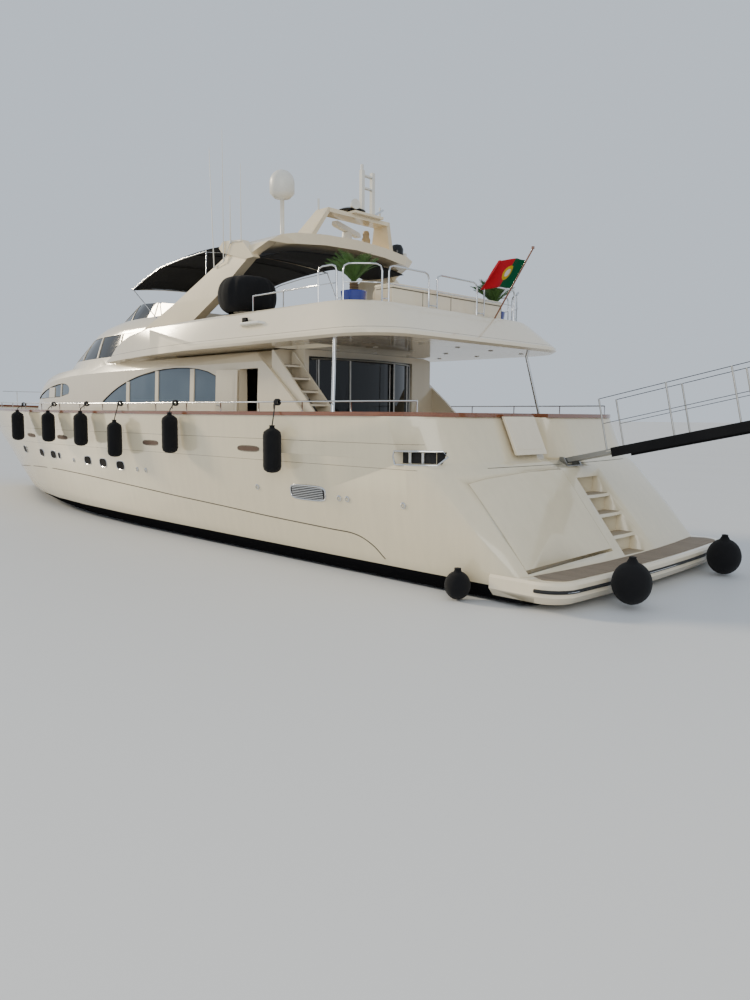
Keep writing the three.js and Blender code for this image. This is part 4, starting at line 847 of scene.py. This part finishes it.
def build_transom_trim():
    treads, seams, strips = Shape(), Shape(), Shape()
    starboard, port = STEP_SIDES
    for z in STEP_LEVELS:
        aft = transom_x(z) - TRANSOM_BOW + 0.03
        treads.box((aft, starboard, z + 0.0015), (aft + 0.27, port, z + 0.012))
    treads.box((1.86, starboard, 1.745), (1.865, port, 1.75))
    band = [Vector((x, y, 0.315)) for x, y in aft_curve(0.168, 3.062, 0.45, 0.10, 12)]
    seams.tube(band, 0.027, 8)
    strips.tube([p + Vector((-0.022, 0, 0)) for p in band], 0.007, 6)
    piece("transom_tread_mats", treads, "tread_mat")
    piece("platform_rub_strip", seams, "black_rubber")
    piece("platform_rub_insert", strips, "polished_steel")
    ledge = Shape()
    # A dark line under the ledge across the transom: painted shade.
    strip(ledge, [from_aft("hull", k * 0.15, 1.93) for k in range(-15, 16)], 0.012, 0.003)
    piece("ledge_line", ledge, "painted_shade_line")


# House

def bezier(points, steps=10):
    """Points on a quadratic or cubic curve, without its first."""
    out = []
    for i in range(1, steps + 1):
        level = [Vector(p) for p in points]
        while len(level) > 1:
            level = [a.lerp(b, i / steps) for a, b in zip(level, level[1:])]
        out.append(tuple(level[0]))
    return out


def saloon_outline():
    return [(9.27, 3.005), (9.27, 3.47), *bezier([(9.27, 3.47), (9.6, 3.85), (11.4, 3.9), (12.59, 3.72)]),
            *bezier([(12.59, 3.72), (13.85, 3.56), (14.9, 3.07)]), (14.9, 3.005)]


def almond_outline():
    return [(17.56, 3.30), *bezier([(17.56, 3.30), (17.33, 3.60), (18.15, 3.625)]),
            *bezier([(18.15, 3.625), (19.7, 3.56), (21.15, 3.215)]), (21.15, 3.185), (18.3, 3.215)]


def even(points, step):
    """A closed outline walked at an even step."""
    out = []
    for a, b in zip(points, points[1:] + points[:1]):
        a, b = Vector(a), Vector(b)
        count = max(int((b - a).length / step), 1)
        out += [tuple(a.lerp(b, k / count)) for k in range(count)]
    return out


def build_window_trim():
    gaskets, posts = Shape(), Shape()
    for side, label in ((1, "port"), (-1, "starboard")):
        for outline, node in ((saloon_outline(), "saloon_glass_"), (almond_outline(), "forward_glass_")):
            centre = sum((Vector(p) for p in outline), Vector((0, 0))) / len(outline)
            loop = []
            for x, z in even(outline, 0.12):
                inward = (centre - Vector((x, z))).normalized() * 0.02
                point, _ = on_side(node + label, x + inward.x, z + inward.y, side)
                if point:
                    loop.append(point + Vector((0, side * 0.004, 0)))
            closed_tube(gaskets, loop, 0.016, 6)
        # columns: node, mullion's aft and forward edge
        for node, x0, x1 in (("saloon_glass_", 13.35, 13.51), ("saloon_glass_", 11.89, 12.03),
                             ("saloon_glass_", 10.32, 10.48), ("forward_glass_", 18.80, 19.40),
                             ("forward_glass_", 18.17, 18.24)):
            rows = []
            for k in range(60):
                z = 3.0 + 0.0145 * k
                pair = [on_side(node + label, x, z, side)[0] for x in (x0, x1)]
                if all(pair):
                    rows.append(pair)
            if len(rows) > 2:
                lift = Vector((0, side * 0.022, 0))
                rows = rows[:: max(len(rows) // 8, 1)] + [rows[-1]]
                posts.rings([[a - lift, a + lift, b + lift, b - lift] for a, b in rows])
    piece("window_gaskets", gaskets, "black_rubber")
    piece("window_mullions", posts, "house_gelcoat")


def build_screen_posts():
    posts = Shape()
    levels = [4.25 + 0.057 * k for k in range(11)]
    for y in (-1.45, -0.5, 0.5, 1.45):
        strip(posts, [from_ahead("windscreen", y, z) for z in levels], 0.07, 0.02)
    for side in (1, -1):
        for x in (14.3, 15.6, 16.9):
            strip(posts, [on_side("windscreen", x, z, side) for z in levels], 0.07, 0.02)
    piece("windscreen_posts", posts, "house_gelcoat")
    low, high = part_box("fly_windscreen")
    frames = Shape()
    levels = [low.z + (high.z - low.z) * k / 12 for k in range(13)]
    for y in (-1.35, -0.45, 0.45, 1.35):
        strip(frames, [from_ahead("fly_windscreen", y, z) for z in levels], 0.035, 0.012)
    for side in (1, -1):
        for t in (0.25, 0.55, 0.8):
            hits = [on_side("fly_windscreen", low.x + (high.x - low.x) * t, z, side) for z in levels]
            if sum(1 for point, _ in hits if point) > 2:
                strip(frames, hits, 0.035, 0.012)
    piece("fly_screen_frames", frames, "brushed_aluminium")


def door_place(side, opened):
    turn = Matrix.Rotation(side * opened, 3, "Z")
    lean = Matrix.Rotation(side * DOOR_LEAN, 3, "X")
    hinge = Vector((DOOR_HINGE.x, side * DOOR_HINGE.y, DOOR_HINGE.z))
    return lambda p: hinge + lean @ (turn @ Vector((-p.x, -side * p.y, p.z)))


def build_doors():
    """Panels, frames and lever handles on both faces of the side doors."""
    for name, side, opened in (("port", 1, PORT_DOOR_OPEN), ("starboard", -1, 0.0)):
        place = door_place(side, opened)
        panels, handles = Shape(), Shape()
        for face in (0.006, 0.057):
            for low, high in ((0.12, 0.80), (0.88, 1.62)):
                panels.box((0.09, face, low), (0.54, face + 0.006, high), place)
                panels.box((0.13, face - 0.003, low + 0.04), (0.50, face + 0.009, high - 0.04), place)
        for depth in (-0.02, 0.07):
            handles.tube([place(Vector((0.57, 0.03, 0.98))), place(Vector((0.57, depth, 0.98)))], 0.012)
            handles.tube([place(Vector((0.575, depth, 0.98))), place(Vector((0.46, depth, 0.975)))], 0.010)
        dress("side_door_" + name, "house_gelcoat", bevel=0.006)
        piece("door_panels_" + name, panels, "house_gelcoat", name + "_door", bevel=0.002)
        piece("door_handles_" + name, handles, "polished_steel", name + "_door")


def arc_point(degrees, radius, z):
    a = math.radians(180 + degrees)
    return Vector((AFT_GLASS_CENTRE + radius * math.cos(a), radius * math.sin(a), z))


def build_aft_glass():
    dress("saloon_aft_glass", "black_glass", 25)
    dress("saloon_door", "black_glass", 25)
    fixed, leaf = Shape(), Shape()
    for angle in (-29.3, -25.2, -12.2, 12.2, 25.2, 29.3):
        fixed.tube([arc_point(angle, 3.222, 1.945), arc_point(angle, 3.222, 3.895)], 0.022)
    for z in (1.93, 3.91):
        fixed.tube([arc_point(a * 2.0, 3.232, z) for a in range(-14, 15)], 0.018)
    for angle in (-12.6, 11.1):
        leaf.tube([arc_point(angle, 3.150, 1.97), arc_point(angle, 3.150, 3.87)], 0.014)
    leaf.tube([arc_point(-11.9, 3.205, 2.85), arc_point(-11.9, 3.205, 3.25)], 0.011)
    piece("aft_glass_frames", fixed, "brushed_aluminium")
    piece("sliding_leaf_frame", leaf, "brushed_aluminium", "sliding_door")


DOWNLIGHT = [(0, 4.0975), (0.05, 4.0975), (0.055, 4.09), (0.035, 4.087), (0, 4.090)]


def build_cockpit():
    """Treads of the stair and downlights in the overhang."""
    dress("stair", "house_gelcoat", 30, bevel=0.004)
    treads, spots = Shape(), Shape()
    for i in range(7):
        x, z = 5.64 + 0.27 * i, DECK_Z + 0.265 * (i + 1)
        treads.box((x + 0.012, 1.80, z + 0.001), (x + 0.258, 2.26, z + 0.014))
    for x in (4.6, 5.8, 6.9):
        for y in (-2.2, -1.1, 0.0, 1.1):
            spots.lathe(DOWNLIGHT, (x, y, 0), sides=16)
    piece("stair_tread_planks", treads, "platform_planks", bevel=0.002)
    piece("overhang_downlights", spots, "white_moulding")


# Upperworks

def build_fly_trim():
    """The side lights on the band, each a shelf and a lens."""
    shelves, lenses = Shape(), Shape()
    x0, x1, across, z = SIDE_LIGHT.values()
    for side in (1, -1):
        y = side * across
        shelves.plate([(x0, y - side * 0.05, z - 0.03), (x1, y - side * 0.05, z - 0.03),
                       (x1 - 0.12, y + side * 0.10, z), (x0 + 0.12, y + side * 0.10, z)], (0, 0, 0.05))
        lenses.box((x1 - 0.22, y - 0.04, z + 0.03), (x1 - 0.10, y + 0.03, z + 0.15))
    piece("side_light_shelves", shelves, "white_moulding", bevel=0.012)
    piece("side_light_lenses", lenses, "port_glass", bevel=0.012)


def build_arch_fittings():
    white, dark, tan, steel = Shape(), Shape(), Shape(), Shape()
    roof = lambda x, y: from_above("radar_arch", x, y)[0].z
    tan.lathe([(0.02, 0.0), (0.16, 0.02), (0.17, 0.05), (0.10, 0.08), (0, 0.09)],
              (7.9, 0.73, roof(7.9, 0.73)))
    z = roof(7.9, -0.71)
    tan.lathe([(0.07, 0), (0.09, 0.08), (0.10, 0.2), (0.07, 0.27), (0.08, 0.33), (0.06, 0.39), (0, 0.41)],
              (7.9, -0.71, z), sides=16)
    z = roof(7.9, -1.76)
    dark.lathe([(0.10, 0), (0.10, 0.05), (0.06, 0.08), (0.15, 0.12), (0.155, 0.25), (0.11, 0.34), (0, 0.38)],
               (7.9, -1.76, z))
    dark.lathe([(0.03, 7.13), (0.30, 7.15), (0.32, 7.19), (0.25, 7.23), (0, 7.25)], (7.6, 0.05, 0))
    for y, z0, z1 in ((1.05, 7.04, 7.26), (-0.80, 7.05, 7.42)):
        white.tube([(7.55, y, z0), (7.55, y, z1)], 0.022)
    steel.tube([(7.45, -0.45, 7.14), (7.5, -0.85, 7.36)], 0.025)
    white.lathe([(0.02, 0), (0.05, 0.06), (0.11, 0.22), (0, 0.2)], (7.5, 0.15, 7.25), (-1, 0.3, 0.1), 18)
    white.lathe([(0.05, 0), (0.05, 0.12), (0.075, 0.13), (0.075, 0.22), (0, 0.25)],
                (7.9, -2.0, roof(7.9, -1.97)))
    piece("arch_white_fittings", white, "white_moulding")
    piece("arch_dark_dome", dark, "black_glass")
    piece("arch_tan_fittings", tan, "soft_tan")
    piece("arch_search_light", steel, "polished_steel")


# columns: x, edge z, crown z
COVER = [(7.75, 6.12, 6.23), (9.05, 6.15, 6.26), (9.5, 6.43, 6.52), (9.9, 6.52, 6.62), (10.9, 6.53, 6.64),
         (12.5, 6.40, 6.52), (13.5, 6.15, 6.28), (14.0, 5.98, 6.11)]
COVER_HALF = 1.84


def thin_sheet(name, grid, thick, matter, uv=None, closed=False):
    """A cloth surface from a grid of points, given a small thickness."""
    verts = [tuple(p) for row in grid for p in row]
    count = len(grid[0])
    last = count if closed else count - 1
    faces = []
    for r in range(len(grid) - 1):
        for i in range(last):
            a, b = r * count + i, r * count + (i + 1) % count
            faces.append((a, b, b + count, a + count))
    mesh = bpy.data.meshes.new(name)
    mesh.from_pydata(verts, [], faces)
    if uv:
        layer = mesh.uv_layers.new(name="cloth")
        for loop in mesh.loops:
            layer.data[loop.index].uv = uv[loop.vertex_index]
    area = sum(p.area for p in mesh.polygons)
    obj = settle(name, mesh, matter, "yacht", 60)
    modifier = obj.modifiers.new("Thickness", "SOLIDIFY")
    modifier.thickness = thick
    return obj, area


def build_bimini():
    """The cover sags a little between its hoops and pulls tight over them."""
    along = [(x, e, c) for x, e, c in through(COVER, 57)]
    grid = []
    for i, (x, edge, crown) in enumerate(along):
        sag = 0.018 * abs(math.sin(i * math.pi / 8))
        row = []
        for k in range(33):
            t = k / 16 - 1
            hem = 0.03 * (abs(t) ** 8)
            row.append((x, -COVER_HALF * t, edge + (crown - edge) * (1 - t * t) - sag * (1 - t * t) - hem))
        grid.append(row)
    cover, area = thin_sheet("bimini_canvas", grid, 0.004, "black_canvas")
    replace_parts(cover, "bimini_cover")
    across = area / sum(math.dist(a, b) for a, b in zip(along, along[1:]))
    ribs = Shape()
    for x in (9.9, 11.2, 12.5):
        edge, crown = next((e, c) for px, e, c in along if px >= x)
        for side in (1, -1):
            ribs.tube([(x, side * COVER_HALF, edge - 0.03), (x + 0.02, side * 1.0, edge + 0.05),
                       (x, 0, crown - 0.05)], 0.012, 6)
    piece("bimini_ribs", ribs, "black_rubber")


def build_flag():
    hoist_low, hoist_high = STAFF_FOOT.lerp(STAFF_TIP, 0.46), STAFF_FOOT.lerp(STAFF_TIP, 0.84)
    columns, rows = 36, 18
    grid, uv = [], []
    for r in range(rows + 1):
        v = r / rows
        start = hoist_low.lerp(hoist_high, v)
        line = []
        for c in range(columns + 1):
            u = c / columns
            wave = 0.10 * u * math.sin(u * 9.5 + v * 1.2) + 0.03 * u * math.sin(u * 19 - v * 2)
            droop = -0.16 * u * u + 0.02 * u * math.sin(u * 7)
            line.append((start.x + wave, start.y + 0.03 + 1.0 * u, start.z + droop))
            uv.append((u, v))
        grid.append(line)
    flag, area = thin_sheet("ensign", grid, 0.003, "ensign_cloth", uv)
    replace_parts(flag, "flag")


def build_locker_cover():
    """A loose canvas cover with folds that run down to a drawn hem."""
    rng = random.Random(7)
    phases = [rng.uniform(0, 6.28) for _ in range(4)]
    profile = [(0.02, 5.628), (0.25, 5.618), (0.44, 5.575), (0.55, 5.47), (0.60, 5.33), (0.612, 5.18),
               (0.585, 5.03), (0.52, 4.93), (0.40, 4.875)]
    grid = []
    for r, (radius, z) in enumerate(through(profile, 34)):
        drop = r / 33
        row = []
        for a in round_turn(72):
            fold = sum(math.sin(a * n + p) for n, p in zip((5, 8, 13, 21), phases)) / 4
            away = radius * (1 + 0.05 * fold * math.sin(math.pi * min(drop * 1.1, 1)) - 0.01)
            x, y = LOCKER[0] + away * math.cos(a), LOCKER[1] + away * math.sin(a)
            row.append((x, y, z + 0.012 * fold * drop))
        grid.append(row)
    cover, area = thin_sheet("locker_cover", grid, 0.004, "black_canvas", closed=True)
    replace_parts(cover, "covered_locker")
    foot = Shape()
    foot.lathe([(0.16, 4.2505), (0.16, 4.28), (0.10, 4.32), (0.09, 4.80), (0.30, 4.885), (0, 4.89)],
               (*LOCKER, 0))
    piece("locker_pedestal", foot, "white_moulding")


def cushion(name, low, high, matter, puff=0.03):
    """A crowned pad that is pulled in between its corners."""
    low, high = Vector(low), Vector(high)
    centre, half = (low + high) / 2, (high - low) / 2
    shape = Shape()
    rings = []
    for j in range(13):
        b = -math.pi / 2 + math.pi * j / 12
        ring = []
        for a in round_turn(40):
            x = power(math.cos(a), 0.28) * power(math.cos(b), 0.30)
            y = power(math.sin(a), 0.28) * power(math.cos(b), 0.30)
            z = power(math.sin(b), 0.45)
            pull = 1 - puff * (1 - abs(x * y))
            crown = 1 - 0.12 * abs(x * y)
            ring.append(centre + Vector((half.x * x * pull, half.y * y * pull, half.z * z * crown)))
        rings.append(ring)
    shape.rings(rings)
    obj = piece(name, shape, matter, angle=70)
    return obj


def build_fly_lockers():
    base = dress("fly_lockers", "house_gelcoat", bevel=0.02)
    base.name = "fly_locker_bank"
    for i in range(4):
        y = -1.66 + 0.84 * i
        cushion(f"fly_back_pad_{i + 1}", (5.252, y, 4.62), (5.36, y + 0.80, 5.14), "cream_vinyl")
    seams, lids = Shape(), Shape()
    for i in range(4):
        y = -1.69 + 0.848 * i
        lids.box((4.778, y, 5.085), (5.245, y + 0.836, 5.168))
        # The dark seams between and under the lids are painted shade in the gaps.
        seams.box((4.784, y - 0.005, 4.40), (4.789, y + 0.005, 5.08))
    seams.box((4.786, -1.703, 5.070), (5.20, 1.703, 5.084))
    piece("fly_locker_lids", lids, "house_gelcoat", bevel=0.012)
    piece("fly_locker_seams", seams, "painted_shade_line")


# Fenders

def rope_bundle(shape, centre, rng):
    """Turns of rope round the rail, with a hanging tail."""
    for k in range(4):
        x = centre.x - 0.03 + 0.02 * k
        radius = 0.046 + 0.008 * rng.random()
        loop = [Vector((x, centre.y + radius * math.cos(a), centre.z + radius * math.sin(a)))
                for a in [2 * math.pi * i / 12 for i in range(13)]]
        shape.tube(loop, 0.014, 6)
    side = 1 if centre.y > 0 else -1
    shape.tube([centre + Vector((0.03, side * 0.03, 0)), centre + Vector((0.045, side * 0.05, -0.05)),
                centre + Vector((0.04, side * 0.055, -0.13))], [0.011, 0.010, 0.004], 6)


def taut_rope(name, points, radius, body="yacht"):
    """A free rope from one fitting of the boat to another."""
    line = piece(name, Shape().tube(points, radius, 8), "rope_fibre", body)
    length = sum((Vector(b) - Vector(a)).length for a, b in zip(points, points[1:]))
    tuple(points[0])


def build_fenders():
    rng = random.Random(3)
    turns = Shape()
    for i in range(1, 7):
        node = f"fender_{i}"
        low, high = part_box(node)
        x, radius = (low.x + high.x) / 2, (high.x - low.x) / 2
        y = high.y - radius
        top = high.z - 0.13 if high.z - low.z > 0.85 else high.z
        top = min(top, low.z + 0.80)
        body, r = Shape(), radius * 0.985
        profile = [(0.02, low.z), (r * 0.55, low.z + 0.012), (r * 0.9, low.z + 0.055), (r, low.z + 0.12)]
        for k in range(1, 9):
            z = low.z + 0.12 + (top - low.z - 0.25) * k / 8
            profile.append((r * (1 - 0.012 * (k % 2)), z))
        profile += [(r * 0.92, top - 0.06), (r * 0.6, top - 0.015), (0.05, top + 0.012), (0.045, top + 0.04),
                    (0.055, top + 0.06), (0, top + 0.065)]
        body.lathe(profile, (x, y, 0), sides=36)
        sock = piece(f"{node}_sock", body, "black_sock", angle=60)
        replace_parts(sock, node)
        edge = on_side("cap_rail", x, 2.79, 1)[0]
        rail = Vector((x + 0.15, (edge.y if edge else y) - 0.06, max(high.z + 0.03, 2.98)))
        line = [rail, (rail.x, rail.y + 0.05, rail.z - 0.02), (x + 0.02, y - 0.03, top + 0.12),
                (x, y, top + 0.05)]
        taut_rope(f"{node}_lanyard", line, bpy.context.scene.yacht_trim.lanyard)
        rope_bundle(turns, rail, rng)
    piece("lanyard_turns", turns, "rope_fibre")


def build_ball_fenders():
    for node in ("ball_fender_quarter", "ball_fender_aft_1", "ball_fender_aft_2"):
        low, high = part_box(node)
        radius = (high.x - low.x) / 2 * 0.99
        centre = Vector(((low.x + high.x) / 2, (low.y + high.y) / 2, low.z + radius * 1.1))
        profile = []
        for k in range(15):
            a = -math.pi / 2 + math.pi * k / 15.5
            profile.append((radius * math.cos(a), centre.z + radius * 1.1 * math.sin(a)))
        profile += [(0.05, high.z - 0.03), (0.055, high.z - 0.012), (0.02, high.z - 0.004)]
        ball = Shape().lathe(profile, (centre.x, centre.y, 0), sides=40)
        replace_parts(piece(node + "_sock", ball, "black_sock", angle=60), node)


# Palms

def frond(shape, root, heading, rise, length):
    """A bent rib with thin leaflets on both sides."""
    steps = 9
    out = Vector((math.cos(heading), math.sin(heading), 0))
    spine = []
    for k in range(steps + 1):
        t = k / steps
        lean = rise * (1 - 0.32 * t)
        spine.append(root + length * t * (out * math.cos(lean) + Vector((0, 0, math.sin(lean)))))
    shape.tube(spine, [0.007 * (1 - 0.8 * k / steps) + 0.001 for k in range(steps + 1)], 5)
    across = out.cross(Vector((0, 0, 1)))
    for k in range(1, steps + 1):
        for side in (1, -1):
            for shift in (0.0, 0.5):
                at = spine[k - 1].lerp(spine[k], shift)
                size = 0.15 * math.sin(math.pi * min((k + shift) / (steps + 1.5), 1)) + 0.03
                rib = (spine[k] - spine[k - 1]).normalized()
                tip = at + (across * side * 0.8 + rib * 1.1).normalized() * size
                wide = rib * 0.012
                thin = Vector((0, 0, 0.0012))
                shape.rings([[at - wide - thin, at + wide - thin, at + wide + thin, at - wide + thin],
                             [tip - wide * 0.1 - thin, tip + wide * 0.1 - thin, tip + wide * 0.1 + thin,
                              tip - wide * 0.1 + thin]])


POT = [(0.02, 4.2505), (0.15, 4.2505), (0.19, 4.5), (0.215, 4.80), (0.235, 4.93), (0.245, 5.01),
       (0.235, 5.02), (0.205, 5.01), (0.195, 4.95), (0.02, 4.95)]


def build_palms():
    count = bpy.context.scene.yacht_trim.fronds
    for name, x, y, seed in (("port", 5.38, 2.11, 11), ("starboard", 5.20, -2.00, 23)):
        rng = random.Random(seed)
        pot = Shape().lathe(POT, (x, y, 0), sides=40)
        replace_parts(piece(f"palm_{name}_pot", pot, "cobalt_glaze"), "palm_" + name)
        trunk, crown = Shape(), Shape()
        bark = [(0.075 + 0.012 * (k % 2), 4.94 + 0.022 * k) for k in range(12)]
        trunk.lathe(bark + [(0, 5.22)], (x, y, 0), sides=14)
        for k in range(count):
            heading = 2 * math.pi * k / count * 2.4 + rng.uniform(-0.2, 0.2)
            frond(crown, Vector((x, y, 5.17)), heading, rng.uniform(0.85, 1.53), rng.uniform(0.52, 0.66))
        piece(f"palm_{name}_trunk", trunk, "trunk_fibre")
        piece(f"palm_{name}_fronds", crown, "frond_green", angle=80)


# Gate and passerelle

def gate_face(y, rise):
    """A point on the gate's aft face, this high above its foot."""
    x, z = GATE_FOOT
    return Vector((x + GATE_LEAN * rise, y, z + rise))


def build_gate():
    dress("transom_gate", "house_gelcoat", bevel=0.008)
    cap, panel = Shape(), Shape()
    top = gate_face(0, GATE_HEIGHT)
    cap.box((top.x + 0.014, 0.53, top.z + 0.001), (top.x + 0.05, 1.43, top.z + 0.03))
    corners_of_panel = ((0.62, 0.09), (1.34, 0.09), (1.34, 0.55), (0.62, 0.55))
    panel.plate([gate_face(y, rise) - Vector((0.004, 0, 0)) for y, rise in corners_of_panel], (0.006, 0, 0))
    piece("gate_cap", cap, "varnished_wood", "gate", bevel=0.006)
    piece("gate_panel", panel, "house_gelcoat", "gate", bevel=0.002)


def build_passerelle():
    turn = Matrix.Rotation(PASSERELLE_LIFT, 3, "Y")
    place = lambda p: PASSERELLE_PIN + turn @ p
    dress("passerelle", "brushed_aluminium", 35, bevel=0.004)
    dress("passerelle_foot", "brushed_aluminium", 35, bevel=0.003)
    cover, rims = Shape(), Shape()
    cover.box((-4.285, -0.335, 0.031), (-1.02, 0.335, 0.042), place)
    for side in (1, -1):
        cover.box((-4.285, side * 0.348 - 0.005, -0.115), (-1.02, side * 0.348 + 0.005, 0.042), place)
    for side, name in ((1, "port"), (-1, "starboard")):
        for height, z, radius in (("upper", 0.895, 0.006), ("lower", 0.47, 0.005)):
            points = [place(Vector((x, side * 0.305, z))) for x in (-0.93, -2.11, -3.14, -4.15)]
            taut_rope(f"passerelle_{height}_line_{name}", points, radius, "gangway")
        rims.tube([place(Vector((x, side * 0.322, 0.0))) for x in (-4.28, -0.93)], 0.014, 6)
    piece("passerelle_cover", cover, "black_canvas", "gangway", bevel=0.003)
    piece("passerelle_rims", rims, "polished_steel", "gangway")


# Plain dressing of the solids whose form is final
# columns: material, angle above which an edge stays sharp, nodes
DRESSED = [
    ("hull_gelcoat", 34, "hull", "transom_hatch"), ("house_gelcoat", 32, "bathing_platform"),
    ("varnished_wood", 30, "cap_rail"), ("polished_steel", 60, "guard_rail_port", "guard_rail_starboard"),
    ("house_gelcoat", 24, "deckhouse"), ("blue_glass", 30, "saloon_glass_port", "saloon_glass_starboard"),
    ("blue_glass", 30, "forward_glass_port", "forward_glass_starboard"), ("black_glass", 30, "windscreen"),
    ("fly_gelcoat", 26, "flybridge"), ("black_glass", 30, "fly_windscreen"),
    ("arch_gelcoat", 32, "radar_arch"), ("polished_steel", 60, "bimini_frame"),
    ("arch_gelcoat", 30, "mast_arch"),
    ("white_moulding", 40, "light_mast", "radar_pedestal"), ("white_moulding", 30, "radar_scanner"),
    ("white_moulding", 45, "satellite_dome"), ("white_moulding", 60, "whip_antennas"),
    ("polished_steel", 50, "overhang_post_port", "overhang_post_starboard"),
    ("brushed_aluminium", 40, "shaft_port", "shaft_starboard"),
    ("cast_bronze", 35, "propeller_port", "propeller_starboard"),
    ("cast_bronze", 40, "rudder_port", "rudder_starboard"), ("varnished_wood", 60, "ensign_staff"),
    ("polished_steel", 60, "fly_rail"), ("platform_planks", 30, "platform_teak"),
]


def build_skins():
    for matter, angle, *nodes in DRESSED:
        for node in nodes:
            dress(node, matter, angle)


# Operators, one for each group of pieces

def operator(idname, label, text, *steps):
    """An operator that runs its steps in order."""
    def execute(self, context):
        for step in steps:
            step()
        return {"FINISHED"}
    facts = {"bl_idname": "yacht." + idname, "bl_label": label, "__doc__": text,
             "bl_options": {"REGISTER", "UNDO"}, "execute": execute}
    return type("YACHT_OT_" + idname, (bpy.types.Operator,), facts)


OPERATORS = [
    operator("camera", "Camera", "Place the camera", build_camera),
    operator("finishes", "Finishes", "Mix the materials", build_materials),
    operator("stage", "Stage", "Lay the floor and hang the lights", build_stage),
    operator("skins", "Skins", "Dress the plain solids", build_skins),
    operator("hull", "Hull", "Fit ports, grilles and mooring pockets", build_hull_openings, build_grilles,
             build_hawse),
    operator("transom", "Transom", "Trim the transom and platform", build_transom_trim),
    operator("windows", "Windows", "Trim the windows", build_window_trim, build_screen_posts),
    operator("doors", "Doors", "Fit the side doors and the aft glass", build_doors, build_aft_glass),
    operator("cockpit", "Cockpit", "Fit the stair and the overhang", build_cockpit),
    operator("upperworks", "Upperworks", "Fit the flybridge and the arch", build_fly_trim,
             build_arch_fittings, build_fly_lockers),
    operator("cloth", "Cloth", "Hang the cover, the flag and the locker's canvas", build_bimini, build_flag,
             build_locker_cover),
    operator("fenders", "Fenders", "Hang the fenders", build_fenders, build_ball_fenders),
    operator("palms", "Palms", "Plant the palms", build_palms),
    operator("gangway", "Gangway", "Fit the gate and the passerelle", build_gate, build_passerelle),
]


class YACHT_PT_panel(bpy.types.Panel):
    """Lists the yacht's operators and settings."""
    bl_label = "Motor Yacht"
    bl_idname = "YACHT_PT_panel"
    bl_space_type = "VIEW_3D"
    bl_region_type = "UI"
    bl_category = "Yacht"

    def draw(self, context):
        for made in OPERATORS:
            self.layout.operator(made.bl_idname)
        for group in (context.scene.yacht_view, context.scene.yacht_paint, context.scene.yacht_trim):
            box = self.layout.box()
            for key in group.__annotations__:
                box.prop(group, key)


SETTINGS = [("yacht_view", YachtView), ("yacht_paint", YachtPaint), ("yacht_trim", YachtTrim)]


def register():
    for name, group in SETTINGS:
        bpy.utils.register_class(group)
        setattr(bpy.types.Scene, name, PointerProperty(type=group))
    for made in (*OPERATORS, YACHT_PT_panel):
        bpy.utils.register_class(made)


def unregister():
    for made in reversed((*OPERATORS, YACHT_PT_panel)):
        bpy.utils.unregister_class(made)
    for name, group in reversed(SETTINGS):
        delattr(bpy.types.Scene, name)
        bpy.utils.unregister_class(group)


def main():
    register()
    for made in OPERATORS:
        group, name = made.bl_idname.split(".")
        getattr(getattr(bpy.ops, group), name)()
    bpy.context.view_layer.update()


if __name__ == "__main__":
    main()
